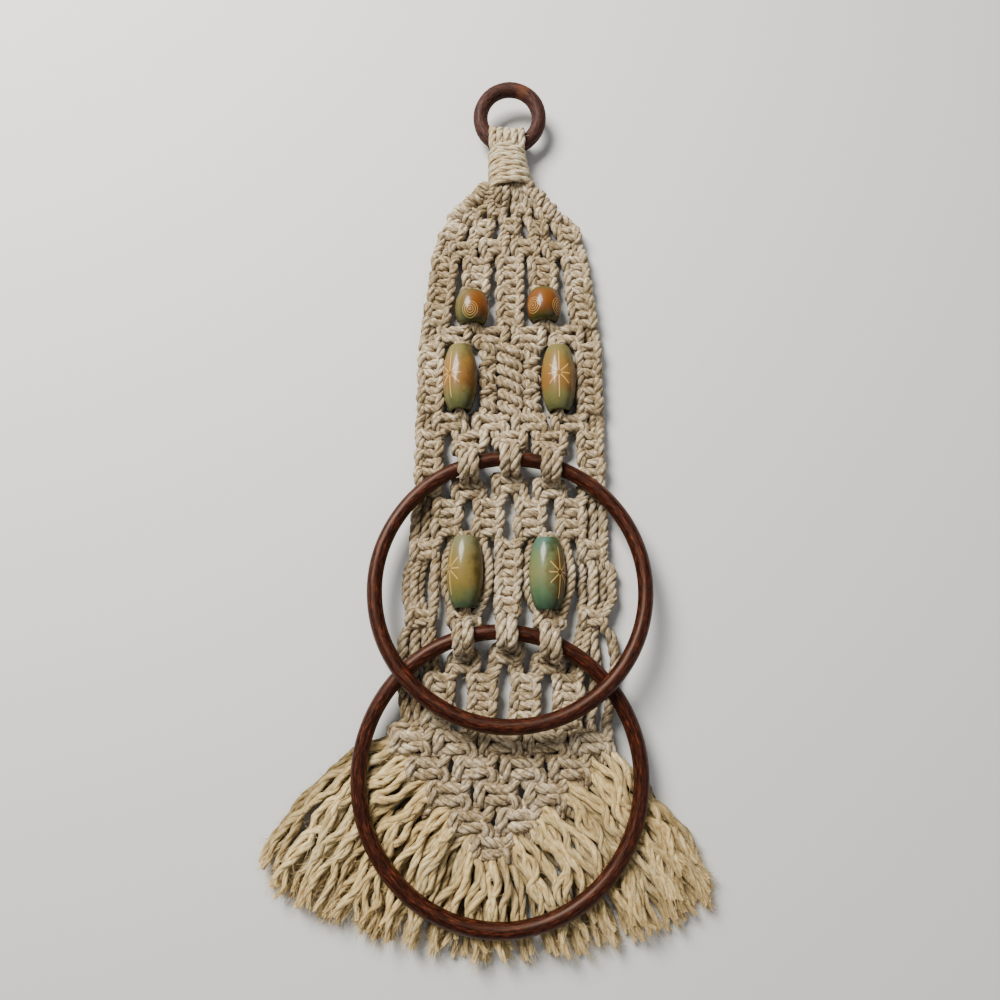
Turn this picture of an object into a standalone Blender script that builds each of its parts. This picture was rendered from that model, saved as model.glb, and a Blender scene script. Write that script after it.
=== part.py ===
"""Macrame towel holder, lying on its back on a level surface.

Twenty cord ends hang from a small wooden ring. They are wound together under it, spread into a net of square
knots and knotted bars (sinnets), hold six glazed beads and two big wooden rings, and end in a V whose edges
run out into fringe. X runs across the piece, Y along it with the small ring at +Y, and Z up from the surface.
Sizes below are in millimetres, and the meshes are written in metres.
"""
import math

import bmesh
import bpy
from mathutils import Vector

MM = 0.001
GAP = 0.3                  # clearance between pieces that touch

# Net of cords
TOP_Y = 240.0              # where the middle line of the net starts to lean
TIP_Y = -182.0             # lowest knot of the V
TOP_X = 6.0                # middle line at the small ring
LEAN = 9.5                 # how far the middle line has moved across at the lowest knot
CORD = 4.6                 # diameter of a cord
PAIR_WIDTH = 8.8           # two cords side by side
KNOT_WIDTH = 17.0
KNOT_HEIGHT = 9.0
SINNET_HEIGHT = 8.5
ROW_LENGTH = 8.4           # a row of knots, measured along the piece
PAIR_LEVEL = 4.0           # height of the middle of two cords that lie side by side
PAIR_THICK = 2.2           # half their thickness
WAIST_WIDTH = 0.84         # between two turns a sinnet is this share of its full width
WAIST_HEIGHT = 0.8         # and this share of its full height
CROWN_SHIFT = 0.35         # how far a turn's crest leans to one side, as a share of its half width
FLAT_ENOUGH = math.radians(3.0)   # faces of the fused net that meet more flatly than this become one

# Rings
BIG_RING = 72.0            # radius of the circle through the middle of the tube
BIG_TUBE = 4.1             # radius of the tube
LOWER_RING = Vector((0.0, -146.9, 13.0))
UPPER_RING = Vector((5.3, -51.0, 17.7))
UPPER_TILT = math.radians(4.36)
SMALL_RING = 18.0
SMALL_TUBE = 4.0
HANGER = Vector((6.0, 241.0, 13.1))
HANGER_TILT = math.radians(-10.0)

# Winding under the small ring
WRAP_X = 5.4
WRAP_TOP = 216.0
WRAP_BOTTOM = 189.5
WRAP_WIDTH = 26.4
WRAP_HEIGHT = 20.0
WRAP_WALL = 2.7
WRAP_TURNS = 9
WRAP_POINTS = 14           # corners of the winding's section
WRAP_DIP = 0.9             # depth of the groove between two turns
CORD_GROOVE = 0.08         # depth of the grooves between the cords inside, as a share of the section

# Beads
BEAD_RADIUS = 10.0
BEAD_BORE = 3.8
BEAD_REST = BEAD_RADIUS + GAP
ROUND_LENGTH = 20.0
LONG_LENGTH = 39.0

# Fringe
STRAND = 4.0               # thickness of a fringe strand
STRAND_SPREAD = 0.6        # share by which a strand opens out towards its end
STRANDS = 24               # in each of the two fans
LAYER_STEP = 4.3           # height of the upper layer over the lower one
STRIP_WIDTH = 4.0
PAST_POINT = 9.0           # how far each strip runs on past the V's lowest knot
STRIP_FLOOR = 0.5
STRIP_HEIGHT = 7.6

# Spacing of neighbouring columns of cords: height along the piece, spacing
SPACING = (
    (190.0, 17.4), (158.0, 18.4), (140.0, 20.8), (120.0, 21.4), (92.0, 23.0), (22.0, 23.0), (0.0, 22.0),
    (-20.0, 22.0), (-32.0, 23.0), (-70.0, 22.8), (-92.0, 22.0), (-130.0, 22.2), (-139.0, 24.0), (-190.0, 24.0),
)

# Knots and knotted bars: column (halves lie between two columns), top, bottom, turns, width
SINNETS = (
    (1, 150.5, 101.0, 6, 16.0), (3, 150.5, 101.0, 6, 16.0), (5, 150.5, 101.0, 6, 16.0),
    (2, 144.0, 127.5, 2, 16.0), (4, 144.0, 128.5, 2, 16.0),
    (1, 94.5, 46.8, 6, 15.6), (3, 94.5, 46.8, 6, 14.6), (5, 94.5, 46.8, 6, 15.6),
    (1, 40.3, 0.5, 5, 16.4), (5, 40.3, 0.5, 5, 16.4),
    (2, 40.3, 26.2, 2, 16.0), (3, 40.3, 29.8, 2, 16.0), (4, 40.3, 26.2, 2, 16.0),
    (2, 8.4, -2.0, 2, 15.0), (3, 12.2, 0.0, 2, 15.0), (4, 8.4, -2.0, 2, 15.0),
    (1.5, 1.6, -21.0, 3, KNOT_WIDTH), (2.5, 1.6, -21.0, 3, KNOT_WIDTH),
    (3.5, 1.6, -21.0, 3, KNOT_WIDTH), (4.5, 1.6, -21.0, 3, KNOT_WIDTH),
    (1, -26.5, -35.0, 2, KNOT_WIDTH), (5, -26.5, -35.0, 2, KNOT_WIDTH), (3, -26.0, -66.0, 5, 14.4),
    (1, -62.5, -71.0, 2, KNOT_WIDTH), (5, -62.5, -71.0, 2, KNOT_WIDTH),
    (2, -64.0, -69.6, 1, 16.6), (4, -65.0, -71.6, 1, 16.6),
    (2, -85.2, -94.0, 2, 15.6), (3, -82.6, -93.0, 2, 15.6), (4, -87.2, -94.5, 2, 15.6),
    (1.5, -90.5, -131.0, 5, 16.4), (2.5, -90.5, -131.0, 5, 16.4),
    (3.5, -90.5, -131.0, 5, 16.4), (4.5, -90.5, -131.0, 5, 16.4),
    (1.5, -145.8, -153.8, 2, 18.0), (2.5, -145.8, -153.8, 2, 18.0),
    (3.5, -145.8, -153.8, 2, 18.0), (4.5, -145.8, -153.8, 2, 18.0),
    (2.5, -167.6, -175.4, 2, 18.0), (3.5, -167.6, -175.4, 2, 18.0),
)

# Rows of four knots pushed together into one bar: height along the piece
KNOT_ROWS = (179.0, 154.0, 97.8, 43.5)

# Beads: name, middle across, middle along, length
BEADS = (
    ("round_bead_left", -16.5, 113.2, ROUND_LENGTH),
    ("round_bead_right", 25.9, 114.6, ROUND_LENGTH),
    ("upper_bead_left", -23.0, 69.4, LONG_LENGTH),
    ("upper_bead_right", 33.8, 69.0, LONG_LENGTH),
    ("lower_bead_left", -18.9, -42.8, LONG_LENGTH),
    ("lower_bead_right", 25.7, -43.6, LONG_LENGTH),
)

# Where the fringe strands end: share of the way down the V's edge, across, along
LEFT_ENDS = (
    (0.0, -120.0, -182.0), (0.25, -106.0, -200.0), (0.5, -78.0, -213.0), (0.75, -46.0, -225.0),
    (1.0, -7.0, -231.0),
)
RIGHT_ENDS = (
    (0.0, 102.0, -190.0), (0.25, 92.0, -206.0), (0.5, 67.0, -220.0), (0.75, 40.0, -229.0),
    (1.0, 4.0, -232.0),
)

YARN = ("yarn", (0.53, 0.42, 0.28), 0.95)
FRINGE_YARN = ("fringe_yarn", (0.66, 0.53, 0.34), 0.95)
WOOD = ("dark_wood", (0.055, 0.018, 0.012), 0.35)
GLAZE = ("glaze", (0.28, 0.20, 0.05), 0.15)

# Sections of a cord: points across and up, for a half width and a half thickness of one
ROUND_SECTION = ((-0.59, -0.81), (0.59, -0.81), (0.95, 0.31), (0.0, 1.0), (-0.95, 0.31))
FLAT_SECTION = ((-1.0, -1.0), (1.0, -1.0), (0.8, 1.0), (-0.8, 1.0))
TWIN_SECTION = ((-0.8, -1.0), (0.8, -1.0), (1.0, 0.2), (0.5, 1.0), (-0.5, 1.0), (-1.0, 0.2))
KNOT_SECTION = ((-0.85, 0.0), (0.85, 0.0), (1.0, 0.5), (0.0, 1.0), (-1.0, 0.5))


def look_up(table, place):
    """Value of a two-column table, which runs downwards, at a height along the piece."""
    for (high, high_value), (low, low_value) in zip(table, table[1:]):
        if place >= low:
            share = min(1.0, (high - place) / (high - low))
            return high_value + (low_value - high_value) * share
    return table[-1][1]


def middle_x(y):
    """Middle line of the net, which leans a little towards its lower end."""
    share = max(0.0, (TOP_Y - y) / (TOP_Y - TIP_Y))
    return TOP_X - LEAN * share ** 3


def column_x(column, y):
    """Place across of a column of cords, 1 to 5; a half lies between two columns."""
    return middle_x(y) + (column - 3.0) * look_up(SPACING, y)


def add_loft(mesh, rings):
    """Closed solid through rings of points, in millimetres, with both ends capped."""
    rows = [[mesh.verts.new(point * MM) for point in ring] for ring in rings]
    faces = [mesh.faces.new(rows[0]), mesh.faces.new(rows[-1])]
    for near, far in zip(rows, rows[1:]):
        for index in range(len(near)):
            after = (index + 1) % len(near)
            faces.append(mesh.faces.new((near[index], near[after], far[after], far[index])))
    bmesh.ops.recalc_face_normals(mesh, faces=faces)


def add_cord(mesh, path, half_width, half_thick, section, across=None, spread=0.0):
    """Cord swept along a path, its section kept level across; spread widens it towards its far end."""
    rings = []
    for index, point in enumerate(path):
        wide = half_width * (1.0 + spread * index / (len(path) - 1))
        ahead = path[min(index + 1, len(path) - 1)] - path[max(index - 1, 0)]
        ahead.normalize()
        side = across or Vector((-ahead.y, ahead.x, 0.0)).normalized()
        up = ahead.cross(side).normalized()
        rings.append([point + side * (wide * a) + up * (half_thick * b) for a, b in section])
    add_loft(mesh, rings)


def smooth_path(points, steps):
    """Catmull-Rom curve through a few points, with a number of steps between each two."""
    ends = [points[0] * 2 - points[1]] + list(points) + [points[-1] * 2 - points[-2]]
    path = []
    for before, start, end, after in zip(ends, ends[1:], ends[2:], ends[3:]):
        for step in range(steps):
            t = step / steps
            path.append(0.5 * (2 * start + (end - before) * t + (2 * before - 5 * start + 4 * end - after) * t ** 2
                               + (3 * start - before - 3 * end + after) * t ** 3))
    path.append(points[-1])
    return path


def add_sinnet(mesh, column, top, bottom, turns, width):
    """Column of half knots: each turn is a ridge, and its high side changes from turn to turn."""
    rings = []
    stations = 2 * turns
    single = turns <= 2
    floor = 0.0 if single else GAP
    height = KNOT_HEIGHT if single else SINNET_HEIGHT
    for station in range(stations + 1):
        y = top + (bottom - top) * station / stations
        ridge = station % 2 == 1
        reach = 0.5 * width * (1.0 if ridge else WAIST_WIDTH)
        tall = (height - floor) * (1.0 if ridge else WAIST_HEIGHT)
        lean = CROWN_SHIFT if (station // 2) % 2 else -CROWN_SHIFT
        crown = lean if ridge else 0.0
        x = column_x(column, y)
        rings.append([Vector((x + reach * (a + (crown if b == 1.0 else 0.0)), y, floor + tall * b))
                      for a, b in KNOT_SECTION])
    add_loft(mesh, rings)


def add_knot_row(mesh, y):
    """Four knots side by side, each with two lobes, and low between knots."""
    low_between = (0.6, 0.74)          # share of the row's length, share of its height
    lobes = ((-0.5, *low_between), (-0.24, 1.0, 1.0), (0.24, 1.0, 0.94))
    spacing = look_up(SPACING, y)
    stations = [(column + place, length, tall) for column in (1.5, 2.5, 3.5, 4.5)
                for place, length, tall in lobes]
    stations.append((5.0, *low_between))
    rings = []
    for column, length, tall in stations:
        x = middle_x(y) + (column - 3.0) * spacing
        rings.append([Vector((x, y + 0.5 * ROW_LENGTH * length * a, KNOT_HEIGHT * tall * b))
                      for a, b in KNOT_SECTION])
    add_loft(mesh, rings)


def ring_at(centre, tilt, radius, x, side):
    """Middle of a ring's tube at a place across, on its upper (+1) or lower (-1) side."""
    along = side * math.sqrt(radius ** 2 - (x - centre.x) ** 2)
    return Vector((x, centre.y + along * math.cos(tilt), centre.z - along * math.sin(tilt)))


def add_ring_loops(mesh, centre, tilt, above, below):
    """Three pairs of cords over a big ring and three flat pairs under it."""
    reach = BIG_TUBE + 0.5 * CORD + 3.0 * GAP
    loop_half_width = 5.2
    under_half_width = 4.6
    under_half_thick = 2.1
    sunk = 2.0                         # how far a cord runs into the knot that holds it
    knot_middle = 5.5
    shoulder = 0.2
    for column, start, end in zip((2, 3, 4), above, below):
        x = column_x(column, start)
        tube = ring_at(centre, tilt, BIG_RING, x, 1.0)
        out = (Vector((tube.x, tube.y, 0.0)) - Vector((centre.x, centre.y, 0.0))).normalized()
        drop = Vector((0.0, 0.0, 2.5))
        path = [Vector((x, start + sunk, knot_middle)), tube + out * (reach + shoulder) - drop]
        for step in range(7):
            turn = math.pi * step / 6
            path.append(tube + out * (reach * math.cos(turn)) + Vector((0.0, 0.0, reach * math.sin(turn))))
        path += [tube - out * (reach + shoulder) - drop, Vector((x, end - sunk, knot_middle))]
        add_cord(mesh, path, loop_half_width, 0.5 * CORD, TWIN_SECTION, Vector((out.y, -out.x, 0.0)))
        level = under_half_thick + 0.8
        under = [Vector((x, start + sunk, level)), Vector((x, end - sunk, level))]
        add_cord(mesh, under, under_half_width, under_half_thick, FLAT_SECTION)


def add_pinched_row(mesh, y, columns, above, below, outer=True):
    """Knots drawn as crossing pairs: each column's two pairs close up at y and part again below."""
    closed = 3.1                       # from the column's middle to each pair at the knot
    parted = 4.0                       # from the next half column's middle to each pair above and below
    sunk = 1.5
    for column in columns:
        for side in (-1.0, 1.0):
            edge = column == columns[0] and side < 0.0 or column == columns[-1] and side > 0.0
            if edge and not outer:
                continue
            level = 3.0 if side < 0.0 else 4.6
            x = column_x(column, y) + closed * side
            start = column_x(column + 0.5 * side, above) - parted * side
            end = column_x(column + 0.5 * side, below) - parted * side
            foot = Vector((x, y - 3.6, 3.4)) if edge else Vector((end, below - sunk, PAIR_LEVEL))
            path = [Vector((start, above + sunk, PAIR_LEVEL)), Vector((x, y, level)), foot]
            add_cord(mesh, path, 0.5 * PAIR_WIDTH, 2.4, FLAT_SECTION)


def single(mesh, *points, steps=1, radius=0.5 * CORD):
    """One loose cord through points given as across, along and up."""
    add_cord(mesh, smooth_path([Vector(point) for point in points], steps), radius, radius, ROUND_SECTION)


def pair(mesh, *points, half_width=0.5 * PAIR_WIDTH):
    """Two cords side by side through points given as across, along and up."""
    add_cord(mesh, [Vector(point) for point in points], half_width, PAIR_THICK, FLAT_SECTION)


def add_hanger_loops(mesh):
    """Five cords folded over the small ring, side by side."""
    spacing = 4.5
    radius = 2.2
    drawn_in = 0.8                     # share of the spacing that is left at the winding
    for index in range(5):
        offset = spacing * (index - 2)
        x = HANGER.x + offset
        tube = ring_at(HANGER, HANGER_TILT, SMALL_RING, x, -1.0)
        slant = math.cos(math.asin(offset / SMALL_RING))
        reach = SMALL_TUBE + radius + 2.0 * GAP
        flare = 1.08
        foot = Vector((HANGER.x + drawn_in * offset, WRAP_TOP + 1.0, tube.z))
        drop = Vector((0.0, 0.0, 5.0))
        path = [foot + drop]
        for step in range(7):
            turn = 0.5 * math.pi - math.pi * step / 6
            along = flare * reach / slant * math.cos(turn)
            path.append(tube + Vector((0.0, along, reach * math.sin(turn))))
        path.append(foot - drop)
        add_cord(mesh, path, radius, radius, ROUND_SECTION, Vector((1.0, 0.0, 0.0)))


def wrap_section(width, height, low, points, groove=0.0):
    """Rounded section of the bundle: across and up, flat where it rests, with optional lengthwise grooves."""
    section = []
    for index in range(points):
        turn = 2.0 * math.pi * (index + 0.5) / points
        dent = 1.0 - (groove if index % 2 else 0.0)
        across = 0.5 * width * math.copysign(abs(math.cos(turn)) ** 0.8, math.cos(turn)) * dent
        up = 0.5 * height * (1.0 + math.copysign(abs(math.sin(turn)) ** 0.8, math.sin(turn)) * dent)
        section.append((across, low + up))
    return section


def add_neck(mesh):
    """Bundle of folded cords inside the winding, a little wider where it comes out at either end."""
    inset = WRAP_WALL + 1.3 * GAP
    inner_width = WRAP_WIDTH - 2.0 * inset
    inner_height = WRAP_HEIGHT - 2.0 * inset
    low = inset
    stations = (                       # along, width, height, lowest point
        (WRAP_TOP + 2.7, 22.0, 17.0, 1.4), (WRAP_TOP + 0.4, inner_width, inner_height, low),
        (WRAP_BOTTOM - 0.4, inner_width, inner_height, low), (WRAP_BOTTOM - 1.6, 23.0, 13.0, 1.6),
        (WRAP_BOTTOM - 4.6, 30.0, 9.0, 0.8),
    )
    rings = [[Vector((WRAP_X + a, y, b))
              for a, b in wrap_section(width, height, low, WRAP_POINTS, CORD_GROOVE)]
             for y, width, height, low in stations]
    add_loft(mesh, rings)


def add_top_fan(mesh):
    """Cords from the winding to the first rows, the outermost past them to the first outer knots."""
    for column in (1.5, 2.5, 3.5, 4.5):
        x = column_x(column, 181.0)
        pair(mesh, (HANGER.x + 0.42 * (x - HANGER.x), WRAP_BOTTOM - 3.2, 5.0), (x, 180.0, 5.0), half_width=3.0)
    add_pinched_row(mesh, 167.0, (1, 2, 3, 4, 5), 176.5, 156.5, outer=False)
    for side, column in ((-1.0, 1), (1.0, 5)):
        waist = column_x(column, 167.0)
        foot = column_x(column, 148.0)
        pair(mesh, (HANGER.x + 7.0 * side, WRAP_BOTTOM - 4.6, 6.0), (HANGER.x + 24.0 * side, 184.0, 4.4),
             (waist + 0.6 * side, 174.0, 4.0), (waist + 3.6 * side, 164.0, 3.6), (foot + 3.6 * side, 148.0, 4.0),
             half_width=4.0)
    for column in (2, 4):
        for side in (-1.0, 1.0):
            pair(mesh, (column_x(column, 152.0) + 6.0 * side, 152.0, 4.0),
                 (column_x(column, 142.0) + 2.6 * side, 142.0, 4.4), half_width=3.6)


def add_bead_cords(mesh):
    """Cords through the beads, which lift them from the net to the height of the bore."""
    high = BEAD_REST
    past = 0.8                         # the cords are level until this far outside the bead
    knot_level = 6.2
    ends = {"round_bead_left": (129.0, 99.5), "round_bead_right": (130.0, 99.5),
            "upper_bead_left": (96.0, 45.0), "upper_bead_right": (96.0, 45.0)}
    for name, x, y, length in BEADS:
        top = y + 0.5 * length + past
        bottom = y - 0.5 * length - past
        if name in ends:
            start, end = ends[name]
            path = (x, start, knot_level), (x, top, high), (x, bottom, high), (x, end, knot_level)
            add_cord(mesh, [Vector(point) for point in path], 2.5, 2.0, FLAT_SECTION)
            continue
        column = 2 if x < 0.0 else 4
        for side in (-1.0, 1.0):
            bar = column_x(column + 0.5 * side, -19.0) - 5.6 * side
            bow = x + 11.6 * side
            knot = column_x(column, bottom - 5.0)
            single(mesh, (bar, -18.0, 5.4), (x + 1.3 * side, top, high), (x + 1.3 * side, bottom, high),
                   (knot + 1.3 * side, bottom - 4.0, 6.0), radius=1.9)
            single(mesh, (bar + 2.0 * side, -18.5, 3.4), (bow - 1.2 * side, -28.0, 3.0), (bow, -43.0, 2.9),
                   (bow - 1.6 * side, -56.0, 3.0), (knot + 5.0 * side, bottom - 3.5, 4.0), radius=2.1)


def add_loose_cords(mesh):
    """Cords that run free beside the knotted bars, and the two knotted chains beside the upper beads."""
    for side, column in ((-1.0, 1), (1.0, 5)):
        for top, bottom in ((104.0, 91.0), (50.0, 37.0)):
            pair(mesh, (column_x(column, top) + 4.0 * side, top, 3.4),
                 (column_x(column, 0.5 * (top + bottom)) + 5.0 * side, 0.5 * (top + bottom), 3.2),
                 (column_x(column, bottom) + 4.0 * side, bottom, 3.4), half_width=4.0)
        for offset in (2.4, 7.4):
            single(mesh, (column_x(column, 2.0) + (offset - 2.2) * side, 2.0, 3.6),
                   (column_x(column, -12.0) + (offset + 0.2) * side, -12.0, 3.0),
                   (column_x(column, -28.0) + (offset - 2.2) * side, -28.0, 3.6))
            single(mesh, (column_x(column, -69.0) + (offset - 1.4) * side, -69.0, 3.6),
                   (column_x(column, -88.0) + (offset + 0.6) * side, -88.0, 3.0),
                   (column_x(column, -112.0) + (offset + 3.4) * side, -112.0, 3.0),
                   (column_x(column, -138.0) + (offset - 0.6) * side, -138.0, 3.6))
        pair(mesh, (column_x(column - 0.5 * side, -19.0) + 3.6 * side, -19.0, 4.0),
             (column_x(column, -28.0) - 3.6 * side, -28.0, 4.0), half_width=3.8)
        pair(mesh, (column_x(column, -69.0) - 4.0 * side, -69.0, 3.6),
             (column_x(column - 0.5 * side, -92.0) + 3.6 * side, -92.0, 3.6), half_width=3.8)
        for offset, bow in ((-7.0, -0.6), (-2.2, -0.2), (2.6, 0.8), (7.4, 1.8)):
            single(mesh, (column_x(column, -33.5) + 0.9 * offset * side, -33.5, 3.6),
                   (column_x(column, -49.0) + (offset + bow) * side, -49.0, 3.0),
                   (column_x(column, -64.5) + 0.9 * offset * side, -64.5, 3.6))
        pair(mesh, (column_x(3 + 0.5 * side, -19.0) - 4.4 * side, -19.0, 4.0),
             (column_x(3, -28.0) + 2.4 * side, -28.0, 4.4), half_width=3.4)
        chain = middle_x(70.0) + 12.9 * side
        points = [Vector((chain + (0.7 if knot % 2 else -0.7), 95.5 - 6.25 * knot, 4.4)) for knot in range(9)]
        add_cord(mesh, points, 2.9, 3.6, ROUND_SECTION)


def add_point_of_v(mesh):
    """Alternating knots that narrow to the point of the V."""
    add_pinched_row(mesh, -138.6, (1, 2, 3, 4, 5), -129.5, -147.0, outer=False)
    add_pinched_row(mesh, -160.8, (2, 3, 4), -152.5, -168.5)
    for side in (-1.0, 1.0):
        x = column_x(3, TIP_Y) + 3.1 * side
        start = column_x(3 + 0.5 * side, -174.0) - 4.0 * side
        pair(mesh, (start, -174.0, 4.0), (x, TIP_Y, 3.8 + 0.8 * side), (x - 0.6 * side, TIP_Y - 4.0, 3.6))


def new_material(name, colour, roughness):
    """Principled material of one colour."""
    material = bpy.data.materials.new(name)
    material.use_nodes = True
    shader = material.node_tree.nodes["Principled BSDF"]
    shader.inputs["Base Color"].default_value = (*colour, 1.0)
    shader.inputs["Roughness"].default_value = roughness
    return material


def new_object(name, mesh, finish, holder):
    """Object made from a bmesh, with its own material, under the holder's empty."""
    data = bpy.data.meshes.new(name)
    mesh.to_mesh(data)
    mesh.free()
    item = bpy.data.objects.new(name, data)
    bpy.context.scene.collection.objects.link(item)
    label, colour, roughness = finish
    data.materials.append(new_material(f"{name}_{label}", colour, roughness))
    item.parent = holder
    return item


def join_with(item, mesh, name, holder, self_crossing):
    """Fuse an object with further closed shapes by an exact union."""
    tool = new_object(name, mesh, YARN, holder)
    tool.hide_render = True
    tool.display_type = "WIRE"
    union = item.modifiers.new("fused", "BOOLEAN")
    union.operation = "UNION"
    union.solver = "EXACT"
    union.use_self = self_crossing
    union.object = tool


def make_knotted_body(holder):
    """The whole net: cords fused at knots, knotted bars and rows of knots."""
    cords = bmesh.new()
    add_hanger_loops(cords)
    add_top_fan(cords)
    add_bead_cords(cords)
    add_ring_loops(cords, UPPER_RING, UPPER_TILT, (26.2, 29.8, 26.2), (8.4, 12.2, 8.4))
    add_ring_loops(cords, LOWER_RING, 0.0, (-69.6, -66.0, -71.6), (-85.2, -82.6, -87.2))
    add_loose_cords(cords)
    add_point_of_v(cords)
    knots = bmesh.new()
    add_neck(knots)
    for column, top, bottom, turns, width in SINNETS:
        add_sinnet(knots, column, top, bottom, turns, width)
    for y in KNOT_ROWS:
        add_knot_row(knots, y)
    body = new_object("knotted_body", cords, YARN, holder)
    join_with(body, knots, "knots_tool", holder, True)
    flatter = body.modifiers.new("flatter", "DECIMATE")
    flatter.decimate_type = "DISSOLVE"
    flatter.angle_limit = FLAT_ENOUGH


def make_ring(name, centre, tilt, radius, tube, steps, sides, holder):
    """Plain wooden ring, its tube turned round its middle."""
    mesh = bmesh.new()
    rows = []
    for step in range(steps):
        turn = 2.0 * math.pi * step / steps
        row = []
        for side in range(sides):
            bend = 2.0 * math.pi * (side + 0.5) / sides
            reach = radius + tube * math.cos(bend)
            row.append(mesh.verts.new(Vector((reach * math.cos(turn), reach * math.sin(turn),
                                              tube * math.sin(bend))) * MM))
        rows.append(row)
    for step, row in enumerate(rows):
        after = rows[(step + 1) % steps]
        for side in range(sides):
            beside = (side + 1) % sides
            mesh.faces.new((row[side], after[side], after[beside], row[beside]))
    ring = new_object(name, mesh, WOOD, holder)
    ring.data.shade_smooth()
    ring.location = centre * MM
    ring.rotation_euler = (-tilt, 0.0, 0.0)


def make_bead(name, x, y, length, holder):
    """Turned bead with a bore along the piece, a barrel if it is long and a ball if it is round."""
    fullness = 0.5 if length == ROUND_LENGTH else 0.75
    end_radius = 5.9
    half = 0.5 * length
    outer = [half * share for share in (-1.0, -0.85, -0.5, 0.0, 0.5, 0.85, 1.0)]
    profile = []
    for place in outer:
        swell = (1.0 - (place / half) ** 2) ** fullness
        profile.append((place, end_radius + (BEAD_RADIUS - end_radius) * swell))
    profile += [(half, BEAD_BORE), (-half, BEAD_BORE)]
    mesh = bmesh.new()
    sides = 10
    rows = []
    for side in range(sides):
        turn = 2.0 * math.pi * (side + 0.5) / sides
        rows.append([mesh.verts.new(Vector((radius * math.cos(turn), place, radius * math.sin(turn))) * MM)
                     for place, radius in profile])
    for side, row in enumerate(rows):
        after = rows[(side + 1) % sides]
        for index in range(len(profile)):
            beside = (index + 1) % len(profile)
            mesh.faces.new((row[index], row[beside], after[beside], after[index]))
    bmesh.ops.recalc_face_normals(mesh, faces=mesh.faces)
    bead = new_object(name, mesh, GLAZE, holder)
    bead.data.set_sharp_from_angle(angle=math.radians(40.0))
    bead.location = Vector((x, y, BEAD_REST)) * MM


def make_wrap(holder):
    """Ridged sleeve of the winding cord: one ridge for each turn, with the bundle's bore through it."""
    mesh = bmesh.new()
    points = WRAP_POINTS
    rows = []
    steps = 2 * WRAP_TURNS
    for step in range(steps + 1):
        y = WRAP_TOP + (WRAP_BOTTOM - WRAP_TOP) * step / steps
        inset = 0.0 if step % 2 else WRAP_DIP
        section = wrap_section(WRAP_WIDTH - 2.0 * inset, WRAP_HEIGHT - inset, 0.0, points)
        rows.append([mesh.verts.new(Vector((WRAP_X + a, y, b)) * MM) for a, b in section])
    bore = wrap_section(WRAP_WIDTH - 2.0 * WRAP_WALL, WRAP_HEIGHT - 2.0 * WRAP_WALL, WRAP_WALL, points)
    for y in (WRAP_BOTTOM, WRAP_TOP):
        rows.append([mesh.verts.new(Vector((WRAP_X + a, y, b)) * MM) for a, b in bore])
    for index, row in enumerate(rows):
        after = rows[(index + 1) % len(rows)]
        for place in range(points):
            beside = (place + 1) % points
            mesh.faces.new((row[place], row[beside], after[beside], after[place]))
    bmesh.ops.recalc_face_normals(mesh, faces=mesh.faces)
    new_object("gathering_wrap", mesh, YARN, holder)


def v_edge(side):
    """Line just outside the outer lower corners of the V's knots: its start, its end and the way out."""
    rows = ((1, -142.6), (1.5, -153.8), (2, -164.6), (2.5, -175.4), (3, TIP_Y - 4.2))
    corners = []
    for column, y in rows:
        corners.append(Vector((column_x(3 + (3 - column) * side, y) + 7.9 * side, y)))
    along = (corners[-1] - corners[0]).normalized()
    out = Vector((-along.y, along.x)) * side
    if out.y > 0.0:
        out.negate()
    reach = max((corner - corners[0]).dot(out) for corner in corners) + GAP
    return corners[0] + out * reach, corners[-1] + out * reach, out


def fringe_end(table, share):
    """Where the strand at a share of the way down the V's edge ends."""
    for (low, low_x, low_y), (high, high_x, high_y) in zip(table, table[1:]):
        if share <= high:
            part = (share - low) / (high - low)
            return Vector((low_x + (high_x - low_x) * part, low_y + (high_y - low_y) * part))
    return Vector(table[-1][1:])


def make_fringe(name, side, ends, holder):
    """Fan of loose strands in two layers, which stand apart but for their roots in a narrow strip."""
    start, end, out = v_edge(side)
    strip = bmesh.new()
    line = (end - start).normalized()
    near, far = start - line * 2.0, end + line * PAST_POINT
    rings = []
    for place in (near, far):
        corners = (place, place + out * STRIP_WIDTH)
        rings.append([Vector((*corners[0], STRIP_FLOOR)), Vector((*corners[1], STRIP_FLOOR)),
                      Vector((*corners[1], STRIP_HEIGHT)), Vector((*corners[0], STRIP_HEIGHT))])
    add_loft(strip, rings)
    strands = bmesh.new()
    for index in range(STRANDS):
        share = (index + 0.5) / STRANDS
        upper = index % 2 == 1
        root = near.lerp(far, share) + out * (0.5 * STRIP_WIDTH)
        tip = fringe_end(ends, share)
        reach = (tip - root).length
        turn = math.radians(90.0 * share)
        first = Vector((math.cos(turn) * side, -math.sin(turn)))
        bend = root + first * (0.45 * reach)
        if upper:
            tip = root.lerp(tip, 0.93)
        path = []
        for step in range(5):
            t = step / 4
            place = root * (1 - t) ** 2 + bend * (2 * t * (1 - t)) + tip * t ** 2
            sway = 1.1 * math.sin(5.2 * t + 2.4 * share) * t
            place += Vector((first.y, -first.x)) * (sway * side)
            floor = LAYER_STEP if upper else 0.0
            path.append(Vector((place.x, place.y, floor + 0.5 * STRAND)))
        add_cord(strands, path, 0.4 * STRAND, 0.5 * STRAND, FLAT_SECTION, spread=STRAND_SPREAD)
    item = new_object(name, strip, FRINGE_YARN, holder)
    join_with(item, strands, f"{name}_tool", holder, False)


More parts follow.
